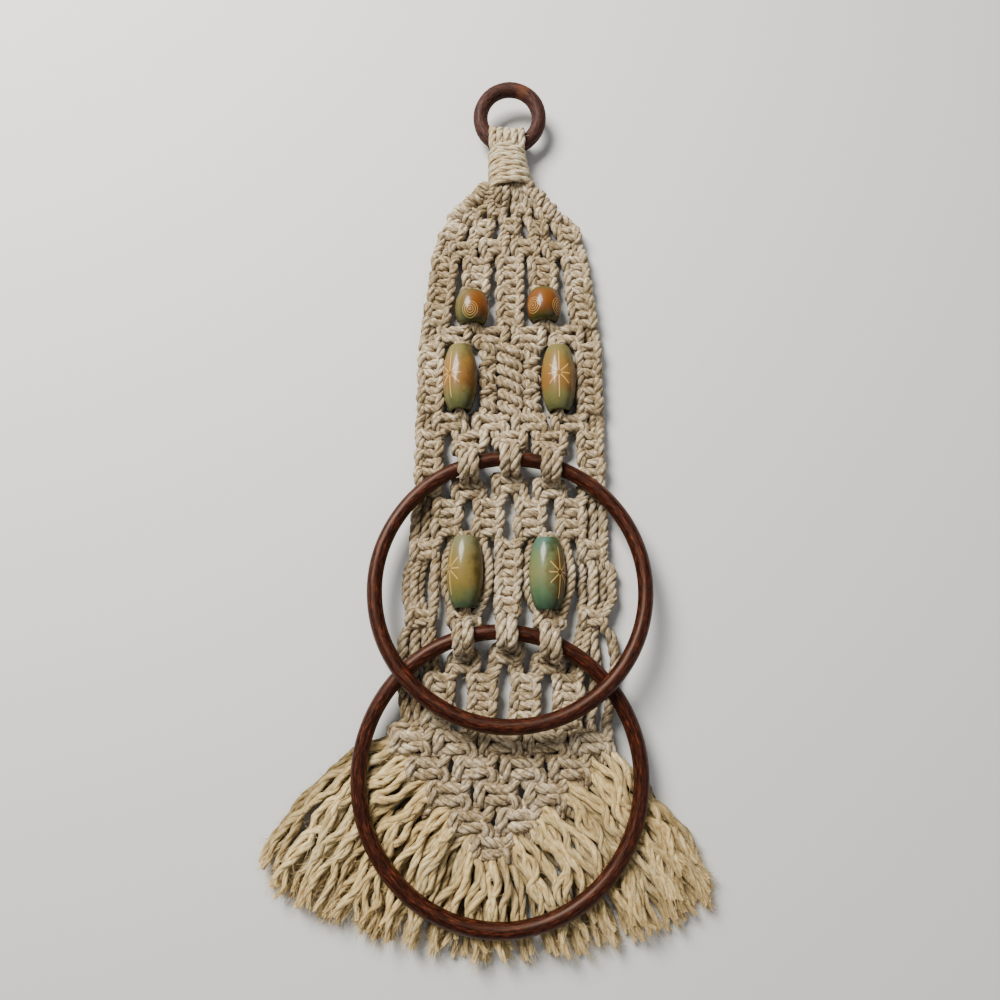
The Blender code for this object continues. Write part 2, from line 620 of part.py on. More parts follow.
def centre_on_origin(holder):
    """Put the middle of the whole piece over the origin."""
    bpy.context.view_layer.update()
    graph = bpy.context.evaluated_depsgraph_get()
    low = Vector((1e9, 1e9))
    high = Vector((-1e9, -1e9))
    for item in bpy.context.scene.objects:
        if item.type != "MESH" or item.hide_render:
            continue
        shape = item.evaluated_get(graph)
        for corner in shape.data.vertices:
            place = shape.matrix_world @ corner.co
            low = Vector((min(low.x, place.x), min(low.y, place.y)))
            high = Vector((max(high.x, place.x), max(high.y, place.y)))
    middle = (low + high) / 2
    holder.location = (-middle.x, -middle.y, 0.0)


def main():
    for item in list(bpy.data.objects):
        bpy.data.objects.remove(item, do_unlink=True)
    holder = bpy.data.objects.new("towel_holder", None)
    bpy.context.scene.collection.objects.link(holder)
    make_knotted_body(holder)
    make_wrap(holder)
    make_ring("hanging_ring", HANGER, HANGER_TILT, SMALL_RING, SMALL_TUBE, 24, 8, holder)
    make_ring("upper_ring", UPPER_RING, UPPER_TILT, BIG_RING, BIG_TUBE, 40, 8, holder)
    make_ring("lower_ring", LOWER_RING, 0.0, BIG_RING, BIG_TUBE, 40, 8, holder)
    for name, x, y, length in BEADS:
        make_bead(name, x, y, length, holder)
    make_fringe("fringe_left", -1.0, LEFT_ENDS, holder)
    make_fringe("fringe_right", 1.0, RIGHT_ENDS, holder)
    centre_on_origin(holder)


main()
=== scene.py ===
"""Macrame towel holder of knotted oatmeal yarn, with wooden rings, glazed beads and a fringed point.

It lies face up on a level floor, with its small hanging ring towards +Y. Lengths are in millimetres, and
every piece is placed from the lower towel ring of the loaded frame.
"""
import math
import random
from functools import partial

import bmesh
import bpy
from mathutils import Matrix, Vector, noise


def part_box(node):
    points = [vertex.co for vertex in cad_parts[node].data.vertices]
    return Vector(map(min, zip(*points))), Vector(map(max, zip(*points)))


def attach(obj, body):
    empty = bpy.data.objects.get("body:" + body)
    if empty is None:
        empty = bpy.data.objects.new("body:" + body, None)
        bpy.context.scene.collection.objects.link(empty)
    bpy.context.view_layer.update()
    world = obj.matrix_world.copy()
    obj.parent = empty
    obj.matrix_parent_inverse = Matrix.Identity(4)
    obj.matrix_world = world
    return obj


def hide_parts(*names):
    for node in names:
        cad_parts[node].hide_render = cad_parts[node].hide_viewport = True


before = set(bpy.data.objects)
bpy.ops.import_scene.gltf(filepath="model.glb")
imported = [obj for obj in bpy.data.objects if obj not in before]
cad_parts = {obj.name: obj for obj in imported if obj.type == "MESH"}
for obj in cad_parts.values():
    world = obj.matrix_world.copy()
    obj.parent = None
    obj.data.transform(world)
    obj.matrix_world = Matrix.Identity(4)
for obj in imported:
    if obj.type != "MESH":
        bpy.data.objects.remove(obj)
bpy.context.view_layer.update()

# ----------------------------------------------------------------------
# Hanging ring and towel rings.
# Plain hardwood rings, bent and sanded round, stained dark brown and waxed. The stain has worn through to a
# redder brown in streaks along the grain. The small one hangs on a nail, and the two large ones take towels.
MM = 0.001
LOWER_RING = Vector((0.0, -146.9, 13.0))
UPPER_RING = Vector((5.3, -51.0, 17.7))
UPPER_TILT = math.radians(4.36)
BIG_RING = 72.0
BIG_TUBE = 4.1
HANGER = Vector((6.0, 241.5, 13.1))
HANGER_TILT = math.radians(-10.0)
SMALL_RING = 18.2
SMALL_TUBE = 4.5
UNDER_LOOPS = 0.5 * math.pi        # the towel rings' joints lie under the middle cord loop
low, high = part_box("lower_ring")
PLACE = Vector((0.5 * (low.x + high.x), 0.5 * (low.y + high.y) - LOWER_RING.y * MM, 0.0))


def at(x, y, z):
    """Point of the frame, in metres, for a place in the piece's own millimetres."""
    return PLACE + Vector((x, y, z)) * MM


def colour(code):
    """Linear colour for an sRGB hex value."""
    parts = [int(code[start:start + 2], 16) / 255.0 for start in (1, 3, 5)]
    linear = [part / 12.92 if part <= 0.04045 else ((part + 0.055) / 1.055) ** 2.4 for part in parts]
    return (*linear, 1.0)


def add_node(tree, kind, inputs=None, stops=(), **settings):
    """New node with its settings. Each input is a value, or the socket or node that feeds it.

    A kind without "Node" in its name, such as "Math", is a shader node.
    """
    made = tree.nodes.new(kind if "Node" in kind else f"ShaderNode{kind}")
    for name, value in settings.items():
        setattr(made, name, value)
    for key, value in (inputs or {}).items():
        socket = made.inputs[key] if isinstance(key, int) else next(
            each for each in made.inputs if each.enabled and each.name == key)
        if isinstance(value, bpy.types.Node):
            value = next(each for each in value.outputs if each.enabled)
        if isinstance(value, bpy.types.NodeSocket):
            tree.links.new(value, socket)
        else:
            socket.default_value = value
    for index, (place, code) in enumerate(stops):
        points = made.color_ramp.elements
        point = points[index] if index < len(points) else points.new(place)
        point.position, point.color = place, colour(code)
    return made


def new_material(name, settings):
    """Material, its surface shader with settings, and the function above for its own node tree."""
    material = bpy.data.materials.new(name)
    material.use_nodes = True
    shader = material.node_tree.nodes["Principled BSDF"]
    for key, value in settings.items():
        shader.inputs[key].default_value = value
    return material, shader, partial(add_node, material.node_tree)


def finish_surface(shader, base, height, strength, depth):
    """Give a material its colour, and a fine relief of a depth in millimetres."""
    tree = shader.id_data
    tree.links.new(base, shader.inputs["Base Color"])
    relief = add_node(tree, "Bump", {"Height": height, "Strength": strength, "Distance": depth * MM})
    tree.links.new(relief.outputs["Normal"], shader.inputs["Normal"])


def add_object(name, data):
    """Object of a mesh, lamp or camera, in the scene."""
    made = bpy.data.objects.new(name, data)
    bpy.context.scene.collection.objects.link(made)
    return made


def skin_rows(name, build, rows, unroll, material):
    """Object riding on the piece's one body: its rows of points are closed, and so is the loop of rows.

    Unroll gives the place of a row's point on the surface laid flat, in millimetres.
    """
    flat = build.loops.layers.uv.new("UVMap")
    for step, row in enumerate(rows):
        after = rows[(step + 1) % len(rows)]
        for index, point in enumerate(row):
            beside = (index + 1) % len(row)
            face = build.faces.new((point, after[index], after[beside], row[beside]))
            face.smooth = True
            for loop, (ahead, aside) in zip(face.loops, ((0, 0), (1, 0), (1, 1), (0, 1))):
                loop[flat].uv = unroll(step + ahead, index + aside)
    bmesh.ops.recalc_face_normals(build, faces=build.faces)
    data = bpy.data.meshes.new(name)
    build.to_mesh(data)
    build.free()
    data.materials.append(material)
    made = add_object(name, data)
    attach(made, "root")
    return made


def stained_hardwood(name, roughness, stain, gloss, wax, worn_at=-99.0):
    """Hardwood, stained in streaks and waxed. The stain is worn thin at one place along the grain."""
    material, shader, node = new_material(name, {
        "Roughness": roughness, "Coat Weight": 0.04, "Coat Roughness": 0.25, "Specular IOR Level": gloss,
        "Specular Tint": colour(wax)})
    streak = (1.0 / 8.0, 1.0 / 1.1, 1.0)       # streaks 8 long and 1.1 wide
    pore = (1.0 / 3.5, 1.0 / 0.6, 1.0)         # pores 3.5 long and 0.6 wide, drawn coarse enough to show
    grain = node("UVMap", uv_map="UVMap")
    streaks = node("TexNoise", {
        "Vector": node("Mapping", {"Vector": grain, "Scale": streak}), "Scale": 1.0, "Detail": 5.0,
        "Roughness": 0.62})
    pores = node("TexNoise", {
        "Vector": node("Mapping", {"Vector": grain, "Scale": pore}), "Scale": 1.0, "Detail": 3.0})
    stained = node("ValToRGB", {"Fac": streaks}, stops=stain)
    pore_shade = node("ValToRGB", {"Fac": pores}, stops=((0.36, "#7F716B"), (0.56, "#FFFFFF")))
    wood = node("Mix", {
        "Factor": 1.0, "A": stained.outputs["Color"],
        "B": pore_shade.outputs["Color"]}, data_type="RGBA", blend_type="MULTIPLY")
    away = node("Math", {0: node("SeparateXYZ", {0: grain}).outputs["X"], 1: worn_at}, operation="SUBTRACT")
    ragged = 9.0                   # how far the streaks shift the edge of the worn patch
    rubbed = node("MapRange", {
        "Value": node("Math", {
            0: node("Math", {0: away}, operation="ABSOLUTE"),
            1: node("Math", {0: streaks, 1: ragged}, operation="MULTIPLY")}, operation="SUBTRACT"),
        "From Min": 1.0, "From Max": -4.0, "To Max": 0.38}, interpolation_type="SMOOTHSTEP")
    bare = node("Mix", {"Factor": rubbed, "A": wood.outputs[2], "B": colour("#7C4829")}, data_type="RGBA")
    finish_surface(shader, bare.outputs[2], pores, 0.3, 0.12)
    return material


def make_ring(name, centre, tilt, radius, tube, joint, wood):
    """Wooden ring whose grain runs along the tube; the grain's joint lies at the given turn."""
    steps, sides, unevenness = round(radius * 2.2), 20, 0.16
    build = bmesh.new()
    rows = []
    for step in range(steps):
        turn = joint + math.tau * step / steps
        row = []
        for side in range(sides):
            bend = math.tau * side / sides - 0.5 * math.pi
            spot = Vector((math.cos(turn), math.sin(turn), 0.7 * bend))
            uneven = tube + unevenness * noise.noise(spot * 2.3)
            reach, up = radius + uneven * math.cos(bend), uneven * math.sin(bend)
            along = reach * math.sin(turn)
            row.append(build.verts.new(at(*(centre + Vector((
                reach * math.cos(turn), along * math.cos(tilt) + up * math.sin(tilt),
                up * math.cos(tilt) - along * math.sin(tilt)))))))
        rows.append(row)
    return skin_rows(name, build, rows, lambda step, side: (
        math.tau * radius * step / steps, math.tau * tube * side / sides), wood)


DARK_WOOD = stained_hardwood("stained_hardwood_waxed", 0.44, (
    (0.33, "#140402"), (0.47, "#2E1008"), (0.60, "#502313"), (0.76, "#8A482B")),
    gloss=0.42, wax="#DDB39C")
WORN_WOOD = stained_hardwood("stained_hardwood_worn_matt", 0.72, (
    (0.30, "#2A1510"), (0.50, "#452720"), (0.65, "#553229"), (0.82, "#754C40")),
    gloss=0.28, wax="#F6E6DC", worn_at=49.0)
for node, *sizes in (
    ("hanging_ring", HANGER, HANGER_TILT, SMALL_RING, SMALL_TUBE, -UNDER_LOOPS, WORN_WOOD),
    ("upper_ring", UPPER_RING, UPPER_TILT, BIG_RING, BIG_TUBE, UNDER_LOOPS, DARK_WOOD),
    ("lower_ring", LOWER_RING, 0.0, BIG_RING, BIG_TUBE, UNDER_LOOPS, DARK_WOOD),
):
    wooden_ring = make_ring(f"wooden_{node}", *sizes)
    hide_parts(node)

# ----------------------------------------------------------------------
# Knotted net.
# Twenty ends of soft plied yarn, oatmeal in colour, tied by hand in square knots and half knots: the outer
# two of each four cross over and under the inner two. Fours regroup from row to row, so the net holds.
CORD = 5.6                         # usual thickness of a cord
STOUT = 1.1                        # the cords are thicker in the point, where they are knotted less tightly,
FREE = 1.14                        # and most of all where they hang free
TOP_Y, TIP_Y = 240.0, -182.0       # the middle line leans, most of all near its lower end
TOP_X, LEAN = 6.0, 10.5
SPACING = (                        # height along the net, distance between neighbouring fours of cords
    (190.0, 12.2), (179.0, 14.6), (167.0, 17.2), (154.0, 19.0), (140.0, 19.9), (120.0, 20.8), (92.0, 22.8),
    (0.0, 22.9), (-32.0, 23.0), (-70.0, 23.2), (-92.0, 22.6), (-124.0, 22.8), (-131.0, 23.6), (-144.0, 24.8),
    (-190.0, 25.4),
)
HALVES = (1.5, 2.5, 3.5, 4.5)      # fours that are tied between two fours of the row above
BEND_STEPS = 6                     # route points in one turn of a cord round another
hand = random.Random(5)            # small unevenness of hand tying, the same each run
cords = [[] for _ in range(20)]    # route of each cord: across, along, up, share of the thickness
order = list(range(20))            # which cord lies at each place across, from left to right


def middle_x(y):
    """Middle line of the net."""
    return TOP_X - LEAN * max(0.0, (TOP_Y - y) / (TOP_Y - TIP_Y)) ** 5


def column_x(column, y):
    """Place across of a four of cords, 1 to 5; a half lies between two fours."""
    y = min(SPACING[0][0], max(SPACING[-1][0], y))
    for (high, wide), (low, narrow) in zip(SPACING, SPACING[1:]):
        if y >= low:
            return middle_x(y) + (column - 3.0) * (wide + (narrow - wide) * (high - y) / (high - low))


def lay(place, x, y, z, thick=1.0):
    """Lead the cord at a place across through a point."""
    cords[order[place]].append((
        x + hand.uniform(-0.35, 0.35), y + hand.uniform(-0.35, 0.35), z, thick * hand.uniform(0.95, 1.05)))


def tie(column, top, bottom, count, width=17.0, first=-1, stout=1.0, flare=1.0):
    """Half knots on one four of cords. A front cord zigzags across, and a back cord loops over its ends."""
    start = round(4 * (column - 1))
    front, back = (start, start + 3) if first < 0 else (start + 3, start)
    thick = CORD * stout
    widest = 1.16                  # a front cord leaves the knot at this share of the reach
    reach = (0.5 * width - 0.46 * thick) / widest
    low, mid, high = 0.48 * thick, 0.88 * thick, 1.36 * thick
    pitch = (top - bottom) / count
    side = first
    for index in range(count):
        y = top - (index + 0.5) * pitch + hand.uniform(-0.35, 0.35)
        x = column_x(column, y) + hand.uniform(-0.45, 0.45)
        slope = hand.uniform(0.08, 0.2)
        opening = flare if index == 0 else 1.0
        steps = [                  # cord, shares of reach and pitch, level, thickness, how far it flares
            (front, widest, 0.50, mid - 0.6, 0.92, opening), (front, 0.72, slope, high - 0.8, 0.94, 1.0),
            (front, 0.05, 0.0, high, 1.0, 1.0), (front, -0.66, -slope, high - 0.9, 0.94, 1.0),
            (back, -1.00, -0.10, high - 0.2, 1.0, 1.0), (back, -0.62, -0.52, mid - 0.6, 0.92, 1.0),
            (back, -0.10, -0.10, low, 0.92, 1.0), (back, 0.50, 0.40, low + 1.3, 0.92, 1.0),
            (back, 1.00, 0.20, high, 1.02, 1.0),
        ]
        if index < count - 1:
            steps.append((back, 1.07, -0.50, high + 0.7, 1.05, 1.0))
        else:
            steps += [(front, -1.10, -0.46, mid - 0.4, 0.92, flare),
                      (back, 1.02, -0.46, high - 1.4, 1.0, flare)]
        for cord, across, along, level, thick, wide in steps:
            lay(cord, x + across * side * reach * wide, y + along * pitch, level, thick * stout * wide)
        for inner, offset in ((start + 1, -1.9), (start + 2, 1.9)):
            lay(inner, x + offset, y, mid, 0.9 * stout)
        side = -side
    if count % 2:
        order[start], order[start + 3] = order[start + 3], order[start]


def loop_over_ring(column, centre, tilt, start, end):
    """The inner two of four cords pass over a ring's tube, side by side, and the outer two pass under it."""
    first = 4 * (column - 1)
    x = 0.5 * (column_x(column, start) + column_x(column, end))
    for place, offset in ((first + 1, -0.47 * CORD), (first + 2, 0.47 * CORD)):
        aside = x + offset - centre.x
        along = math.sqrt(BIG_RING ** 2 - aside ** 2)
        tube = Vector((x + offset, centre.y + along * math.cos(tilt), centre.z - along * math.sin(tilt)))
        reach = BIG_TUBE + 0.56 * CORD + 0.2
        lay(place, x + offset, start - 0.5, 6.4)
        for step in range(7):
            turn = math.pi * (step - 0.3) / 5.4
            spot = tube + Vector((0.0, reach * BIG_RING / along * math.cos(turn), reach * math.sin(turn)))
            lay(place, *spot, 1.02 + 0.17 * max(0.0, math.sin(turn)))      # slack, so fullest on top
        lay(place, x + offset, end + 0.5, 6.4)
    for place, offset in ((first, -2.8), (first + 3, 2.8)):
        lay(place, x + offset, start - 1.5, 3.6, 0.9)
        lay(place, x + offset, 0.5 * (start + end), 3.0, 0.9)
        lay(place, x + offset, end + 1.5, 3.6, 0.9)


def hitch_chain(place, x, top, bottom, count):
    """Two cords that loop round each other in turn, with half hitches."""
    pitch = (top - bottom) / count
    for index in range(count):
        side = 1.0 if index % 2 else -1.0
        active, core = (place + 1, place) if index % 2 else (place, place + 1)
        y = top - (index + 0.5) * pitch
        for cord, across, along, level, thick in (
            (active, 2.9, 0.45, 5.6, 1.0), (active, -0.2, 0.22, 8.4, 1.0), (active, -3.4, -0.06, 5.8, 1.0),
            (active, -0.4, -0.12, 2.7, 0.9), (active, 3.2, -0.06, 5.2, 1.0), (active, 2.0, -0.40, 7.0, 1.0),
            (core, -0.8, 0.2, 5.0, 0.9), (core, -1.2, -0.3, 5.4, 0.9),
        ):
            lay(cord, x + across * side, y + along * pitch, level, thick)


def spiral_bar(column, top, bottom, count):
    """Half knots tied always the same way round: each outer cord runs round the inner two like a screw."""
    first = 4 * (column - 1)
    steps = BEND_STEPS * count
    for index in range(steps + 1):
        y = top + (bottom - top) * index / steps
        x = column_x(column, y)
        turn = math.tau * index / BEND_STEPS
        for place, phase in ((first, 0.0), (first + 3, math.pi)):
            lay(place, x - 5.6 * math.cos(turn + phase), y, 6.0 + 2.9 * math.sin(turn + phase), 1.06)
        for inner, offset in ((first + 1, -1.5), (first + 2, 1.5)):
            lay(inner, x + offset, y, 5.8, 0.9)


def twist_cords(outer, inner, path, turns):
    """Two cords that run round each other along a path of points."""
    path = [Vector(point) for point in path]
    steps = BEND_STEPS * turns
    for index in range(steps + 1):
        place_along = (len(path) - 1) * index / steps
        near = min(int(place_along), len(path) - 2)
        spot = path[near].lerp(path[near + 1], place_along - near)
        ahead = (path[near + 1] - path[near]).normalized()
        turn = math.tau * index / BEND_STEPS
        for place, reach in ((outer, 3.1), (inner, -2.2)):
            aside, up = reach * math.cos(turn), 0.85 * reach * math.sin(turn)
            lay(place, spot.x - aside * ahead.y, spot.y + aside * ahead.x, spot.z + up, 1.04)


def lead_edges(rows, thick=1.0):
    """Lead two cords down beside either edge. Rows: along, then outer and inner cord's way out and level."""
    for side, outer, inner in ((-1, 0, 1), (1, 19, 18)):
        for y, far, far_level, near, near_level in rows:
            edge = column_x(3 + 2 * side, y)
            lay(outer, edge + far * side, y, far_level, thick)
            lay(inner, edge + near * side, y, near_level, thick)


# The neck: cords come down inside the winding and fan out to the first rows.
WRAP_X = 5.4
for place in range(20):
    x = WRAP_X + 1.05 * (place - 9.5)
    lay(place, x, 206.0, 6.5 + 6.0 * (place % 2), 0.8)
    lay(place, x, 193.0, 6.5 + 5.0 * (place % 2), 0.9)
for place, points in (
    (2, ((-3.0, 192.0, 12.0), (-8.5, 188.4, 9.6))),
    (8, ((-1.0, 191.0, 14.0), (-1.2, 187.0, 12.0))),
    (9, ((3.6, 191.0, 14.0), (3.4, 187.0, 12.0))),
    (10, ((9.4, 190.5, 11.0), (9.4, 185.6, 9.0))),
    (17, ((13.5, 192.0, 12.0), (20.5, 187.8, 9.6))),
):
    for point in points:
        lay(place, *point)
twist_cords(0, 1, ((-7.4, 194.6, 10.0), (-14.2, 187.6, 9.0), (-21.4, 181.4, 7.6), (-28.2, 174.4, 6.2)), 3)
twist_cords(19, 18, ((16.4, 195.0, 10.0), (23.2, 188.2, 9.0), (29.8, 180.8, 7.6), (37.0, 172.8, 6.2)), 3)
for column, top in ((1.5, 182.4), (2.5, 186.2), (3.5, 186.2), (4.5, 182.0)):
    tie(column, top, top - 9.6, 2, 13.8)
for column, top, wide in (
    (1, 169.6, 17.4), (2, 173.4, 15.0), (3, 174.6, 14.4), (4, 173.2, 14.8), (5, 168.4, 17.4),
):
    tie(column, top, top - 9.8, 2, wide, first=1)
lead_edges(((154.0, 5.4, 5.0, 0.6, 4.4),))
for column, top in ((1.5, 158.4), (2.5, 160.2), (3.5, 160.2), (4.5, 158.0)):
    tie(column, top, top - 10.0, 2, 19.6)

# First bars, with the round beads between them.
BEAD_HEIGHT = 10.3                 # middle of every bead
BEADS = {                          # across, along, length
    "round_bead_left": (-16.5, 113.2, 20.0), "round_bead_right": (25.9, 114.6, 20.0),
    "upper_bead_left": (-23.0, 69.4, 39.0), "upper_bead_right": (33.8, 69.0, 39.0),
    "lower_bead_left": (-18.9, -42.8, 39.0), "lower_bead_right": (25.7, -43.6, 39.0),
}


def thread_bead(places, name):
    """Lead cords side by side through a bead."""
    x, y, length = BEADS[name]
    for index, place in enumerate(places):
        offset = 1.7 * (index - 0.5 * (len(places) - 1))
        for share, thick in ((0.54, 0.84), (0.4, 0.6), (0.0, 0.6), (-0.4, 0.6), (-0.54, 0.84)):
            lay(place, x + offset, y + share * length, BEAD_HEIGHT - 0.4, thick)


for column in (1, 3, 5):
    tie(column, 149.0, 103.0, 9, 17.8)
tie(2, 148.2, 122.8, 5, 18.4)
tie(4, 148.2, 124.0, 5, 18.4)
thread_bead((4, 5, 6, 7), "round_bead_left")
thread_bead((12, 13, 14, 15), "round_bead_right")
for column in HALVES:
    tie(column, 103.4, 92.4, 2, 22.8, first=1, flare=1.12)

# Long bars and long beads.
lead_edges(((97.8, 6.0, 4.6, 1.4, 3.8),))
for column in (1, 5):
    tie(column, 93.0, 48.8, 8, 17.0, first=1)
spiral_bar(3, 92.0, 47.0, 3)
thread_bead((4, 5), "upper_bead_left")
thread_bead((14, 15), "upper_bead_right")
for place, side in ((6, -1), (12, 1)):
    hitch_chain(place, middle_x(70.0) + 12.6 * side, 92.0, 48.0, 5)
for column in HALVES:
    tie(column, 49.0, 38.2, 2, 22.8, flare=1.12)

# Upper towel ring.
lead_edges(((43.5, 6.0, 4.6, 1.4, 3.8),))
for column in (1, 5):
    tie(column, 38.6, 0.5, 7, 17.0)
for column, foot in ((2, 26.4), (3, 29.6), (4, 26.4)):
    tie(column, 38.4, foot, 2, 22.6, first=1)
    loop_over_ring(column, UPPER_RING, UPPER_TILT, foot, foot - 17.6)
    tie(column, foot - 17.0, foot - 27.6, 2, 22.0)
lead_edges(((-3.0, 6.0, 3.8, 0.4, 3.6), (-12.0, 6.8, 3.8, 0.6, 3.6), (-21.0, 6.4, 3.8, 0.4, 3.6)), FREE)
for column in HALVES:
    tie(column, -1.0, -23.4, 4, 19.2)

# Lower beads, held between bowed cords, and four free cords at either side.
for column in (1, 5):
    tie(column, -25.0, -35.4, 2, 18.6)
for place, x, level in (
    (0, -51.2, 3.0), (1, -47.0, 5.0), (2, -44.0, 2.9), (3, -35.8, 6.8), (16, 45.2, 2.8), (17, 50.8, 6.8),
    (18, 56.0, 3.2), (19, 61.4, 5.4),
):
    for y, shift in ((-42.0, 0.4), (-49.0, -0.3), (-56.0, 0.2)):
        lay(place, x + shift, y, level, 1.05)
for column in (1, 5):
    tie(column, -62.0, -72.4, 2, 18.6)
tie(3, -25.0, -65.4, 8, 16.6)
for places, name in (((4, 5, 6, 7), "lower_bead_left"), ((12, 13, 14, 15), "lower_bead_right")):
    thread_bead(places[1:3], name)
    for place, side, drop in ((places[0], -1, 3.4), (places[3], 1, 0.0)):
        for y, bow, level in ((-26.5, 9.6, 6.4), (-34.0, 12.0, 7.6), (-43.0, 12.9, 8.2), (-52.0, 12.2, 7.6),
                              (-59.5, 9.4, 6.4)):
            lay(place, BEADS[name][0] + (bow - 0.35 * drop) * side, y, level - drop, 1.02)
for column in (2, 4):
    tie(column, -62.8, -71.6, 2, 20.6)

# Lower towel ring.
for column, start in ((2, -71.4), (3, -66.0), (4, -71.4)):
    loop_over_ring(column, LOWER_RING, 0.0, start, start - 15.0)
    tie(column, start - 14.6, start - 25.0, 2, 20.6, first=1)
for places, rests in (((0, 1), (-52.0, -45.6)), ((19, 18), (60.6, 50.6))):
    for place, x in zip(places, rests):
        for y, shift in ((-78.0, 1.0), (-90.0, 1.02), (-102.0, 1.0), (-113.0, 0.97), (-121.0, 0.93)):
            lay(place, x * shift, y, 3.8, FREE)
for column in HALVES:
    tie(column, -96.4, -124.4, 6, 18.0)

# The point: rows of knots, one four fewer in each. The ends that are left over run out into the fringe.
ROW_HEIGHT = 12.8
rows = ((1, 2, 3, 4, 5), (1.5, 2.5, 3.5, 4.5), (2, 3, 4), (2.5, 3.5), (3,))
for row, columns in enumerate(rows):
    top = -125.6 - ROW_HEIGHT * row
    for column in columns:
        tie(column, top, top - 0.86 * ROW_HEIGHT, 2, 24.6, stout=STOUT, flare=1.16)
    for side, places in ((-1, (2 * row, 2 * row + 1)), (1, (19 - 2 * row, 18 - 2 * row))):
        edge = column_x(columns[0] if side < 0 else columns[-1], top)
        for place, ahead in zip(places, (1.0, 0.0)):
            lay(place, edge + (6.0 + 5.0 * ahead) * side, top - 13.0, 5.0, STOUT)
            lay(place, edge + (8.0 + 6.0 * ahead) * side, top - 17.0, 4.6, 0.8)

# The yarn itself: three soft plies laid round each other along every route, resting flat on the floor.
plied = bpy.data.node_groups.new("plied_yarn", "GeometryNodeTree")
plied.interface.new_socket("Routes", in_out="INPUT", socket_type="NodeSocketGeometry")
for label, kind in (
    ("Cord radius", "Float"), ("Plies", "Int"), ("Turn length", "Float"), ("Ply distance", "Float"),
    ("Ply radius", "Float"), ("Step", "Float"), ("Sides", "Int"), ("Unevenness", "Float"),
    ("Opening", "Float"), ("Seed", "Float"), ("Hairs per area", "Float"), ("Yarn", "Material"),
):
    plied.interface.new_socket(label, in_out="INPUT", socket_type=f"NodeSocket{kind}")
plied.interface.new_socket("Yarn", in_out="OUTPUT", socket_type="NodeSocketGeometry")
node = partial(add_node, plied)
given = node("NodeGroupInput").outputs
place = node("GeometryNodeInputPosition")
thick, end, phase, shift, crest = (
    node("GeometryNodeInputNamedAttribute", {"Name": label}, data_type="FLOAT")
    for label in ("thick", "end", "phase", "shift", "crest"))
core, ahead = (
    node("GeometryNodeInputNamedAttribute", {"Name": label}, data_type="FLOAT_VECTOR")
    for label in ("core", "ahead"))

# An even curve through each route, which keeps its own place and direction for later.
routes = node("GeometryNodeMeshToCurve", {"Mesh": given["Routes"]})
smooth = node("GeometryNodeCurveSplineType", {"Curve": routes}, spline_type="CATMULL_ROM")
stepped = node("GeometryNodeResampleCurve", {"Curve": smooth, "Length": given["Step"]}, mode="LENGTH")
for label, value in (("core", place), ("ahead", node("GeometryNodeInputTangent"))):
    stepped = node("GeometryNodeStoreNamedAttribute", {
        "Geometry": stepped, "Name": label, "Value": value}, data_type="FLOAT_VECTOR", domain="POINT")

# Its copies are the plies, and turn round it.
copies = node("GeometryNodeDuplicateElements", {
    "Geometry": stepped, "Amount": given["Plies"]}, domain="SPLINE")
length = node("GeometryNodeSplineParameter").outputs["Length"]
turns = node("Math", {
    0: node("Math", {0: length, 1: given["Turn length"]}, operation="DIVIDE"),
    1: node("Math", {0: copies.outputs["Duplicate Index"], 1: given["Plies"]}, operation="DIVIDE"),
}, operation="ADD")
angle = node("Math", {0: turns, 1: math.tau, 2: phase}, operation="MULTIPLY_ADD")
normal = node("GeometryNodeInputNormal").outputs["Normal"]
beside = node("VectorMath", {0: node("GeometryNodeInputTangent"), 1: normal}, operation="CROSS_PRODUCT")
swing = node("VectorMath", {
    0: node("VectorMath", {
        0: normal, "Scale": node("Math", {0: angle}, operation="COSINE")}, operation="SCALE"),
    1: node("VectorMath", {
        0: beside,
        "Scale": node("Math", {0: angle}, operation="SINE")}, operation="SCALE")}, operation="ADD")
width = node("Math", {0: given["Cord radius"], 1: thick}, operation="MULTIPLY")
spread = node("Math", {
    0: node("Math", {0: end, 1: given["Opening"], 2: 1.0}, operation="MULTIPLY_ADD"),
    1: node("Math", {0: width, 1: given["Ply distance"]}, operation="MULTIPLY")}, operation="MULTIPLY")
laid = node("GeometryNodeSetPosition", {
    "Geometry": copies, "Offset": node("VectorMath", {0: swing, "Scale": spread}, operation="SCALE")})

# Every ply gets a skin with thick places and small bumps.
SWELL_MM, RUFFLE_MM = 3.2, 1.3     # length of a thick place in a ply, and size of its small bumps
SWELL = 0.4                        # how much the thickness of a ply varies
FIBRE_SHIFT = 0.31                 # moves the pattern of the fibres from one ply to the next
swelling = node("TexNoise", {"Scale": 1.0 / (SWELL_MM * MM), "Detail": 1.0})
swollen = node("Math", {
    0: node("Math", {0: swelling, 1: SWELL, 2: 1.0 - 0.5 * SWELL}, operation="MULTIPLY_ADD"),
    1: node("Math", {0: width, 1: given["Ply radius"]}, operation="MULTIPLY")}, operation="MULTIPLY")
along = node("Math", {
    0: length,
    1: node("Math", {
        0: node("Math", {0: copies.outputs["Duplicate Index"], 1: shift}, operation="ADD"),
        1: FIBRE_SHIFT}, operation="MULTIPLY")}, operation="ADD")
with_along = node("GeometryNodeStoreNamedAttribute", {
    "Geometry": laid, "Name": "along", "Value": along}, data_type="FLOAT", domain="POINT")
profile = node("GeometryNodeCurvePrimitiveCircle", {"Resolution": given["Sides"], "Radius": 1.0})
with_round = node("GeometryNodeStoreNamedAttribute", {
    "Geometry": profile, "Name": "round", "Value": place}, data_type="FLOAT_VECTOR", domain="POINT")
skin = node("GeometryNodeCurveToMesh", {
    "Curve": with_along, "Profile Curve": with_round, "Scale": swollen, "Fill Caps": True})
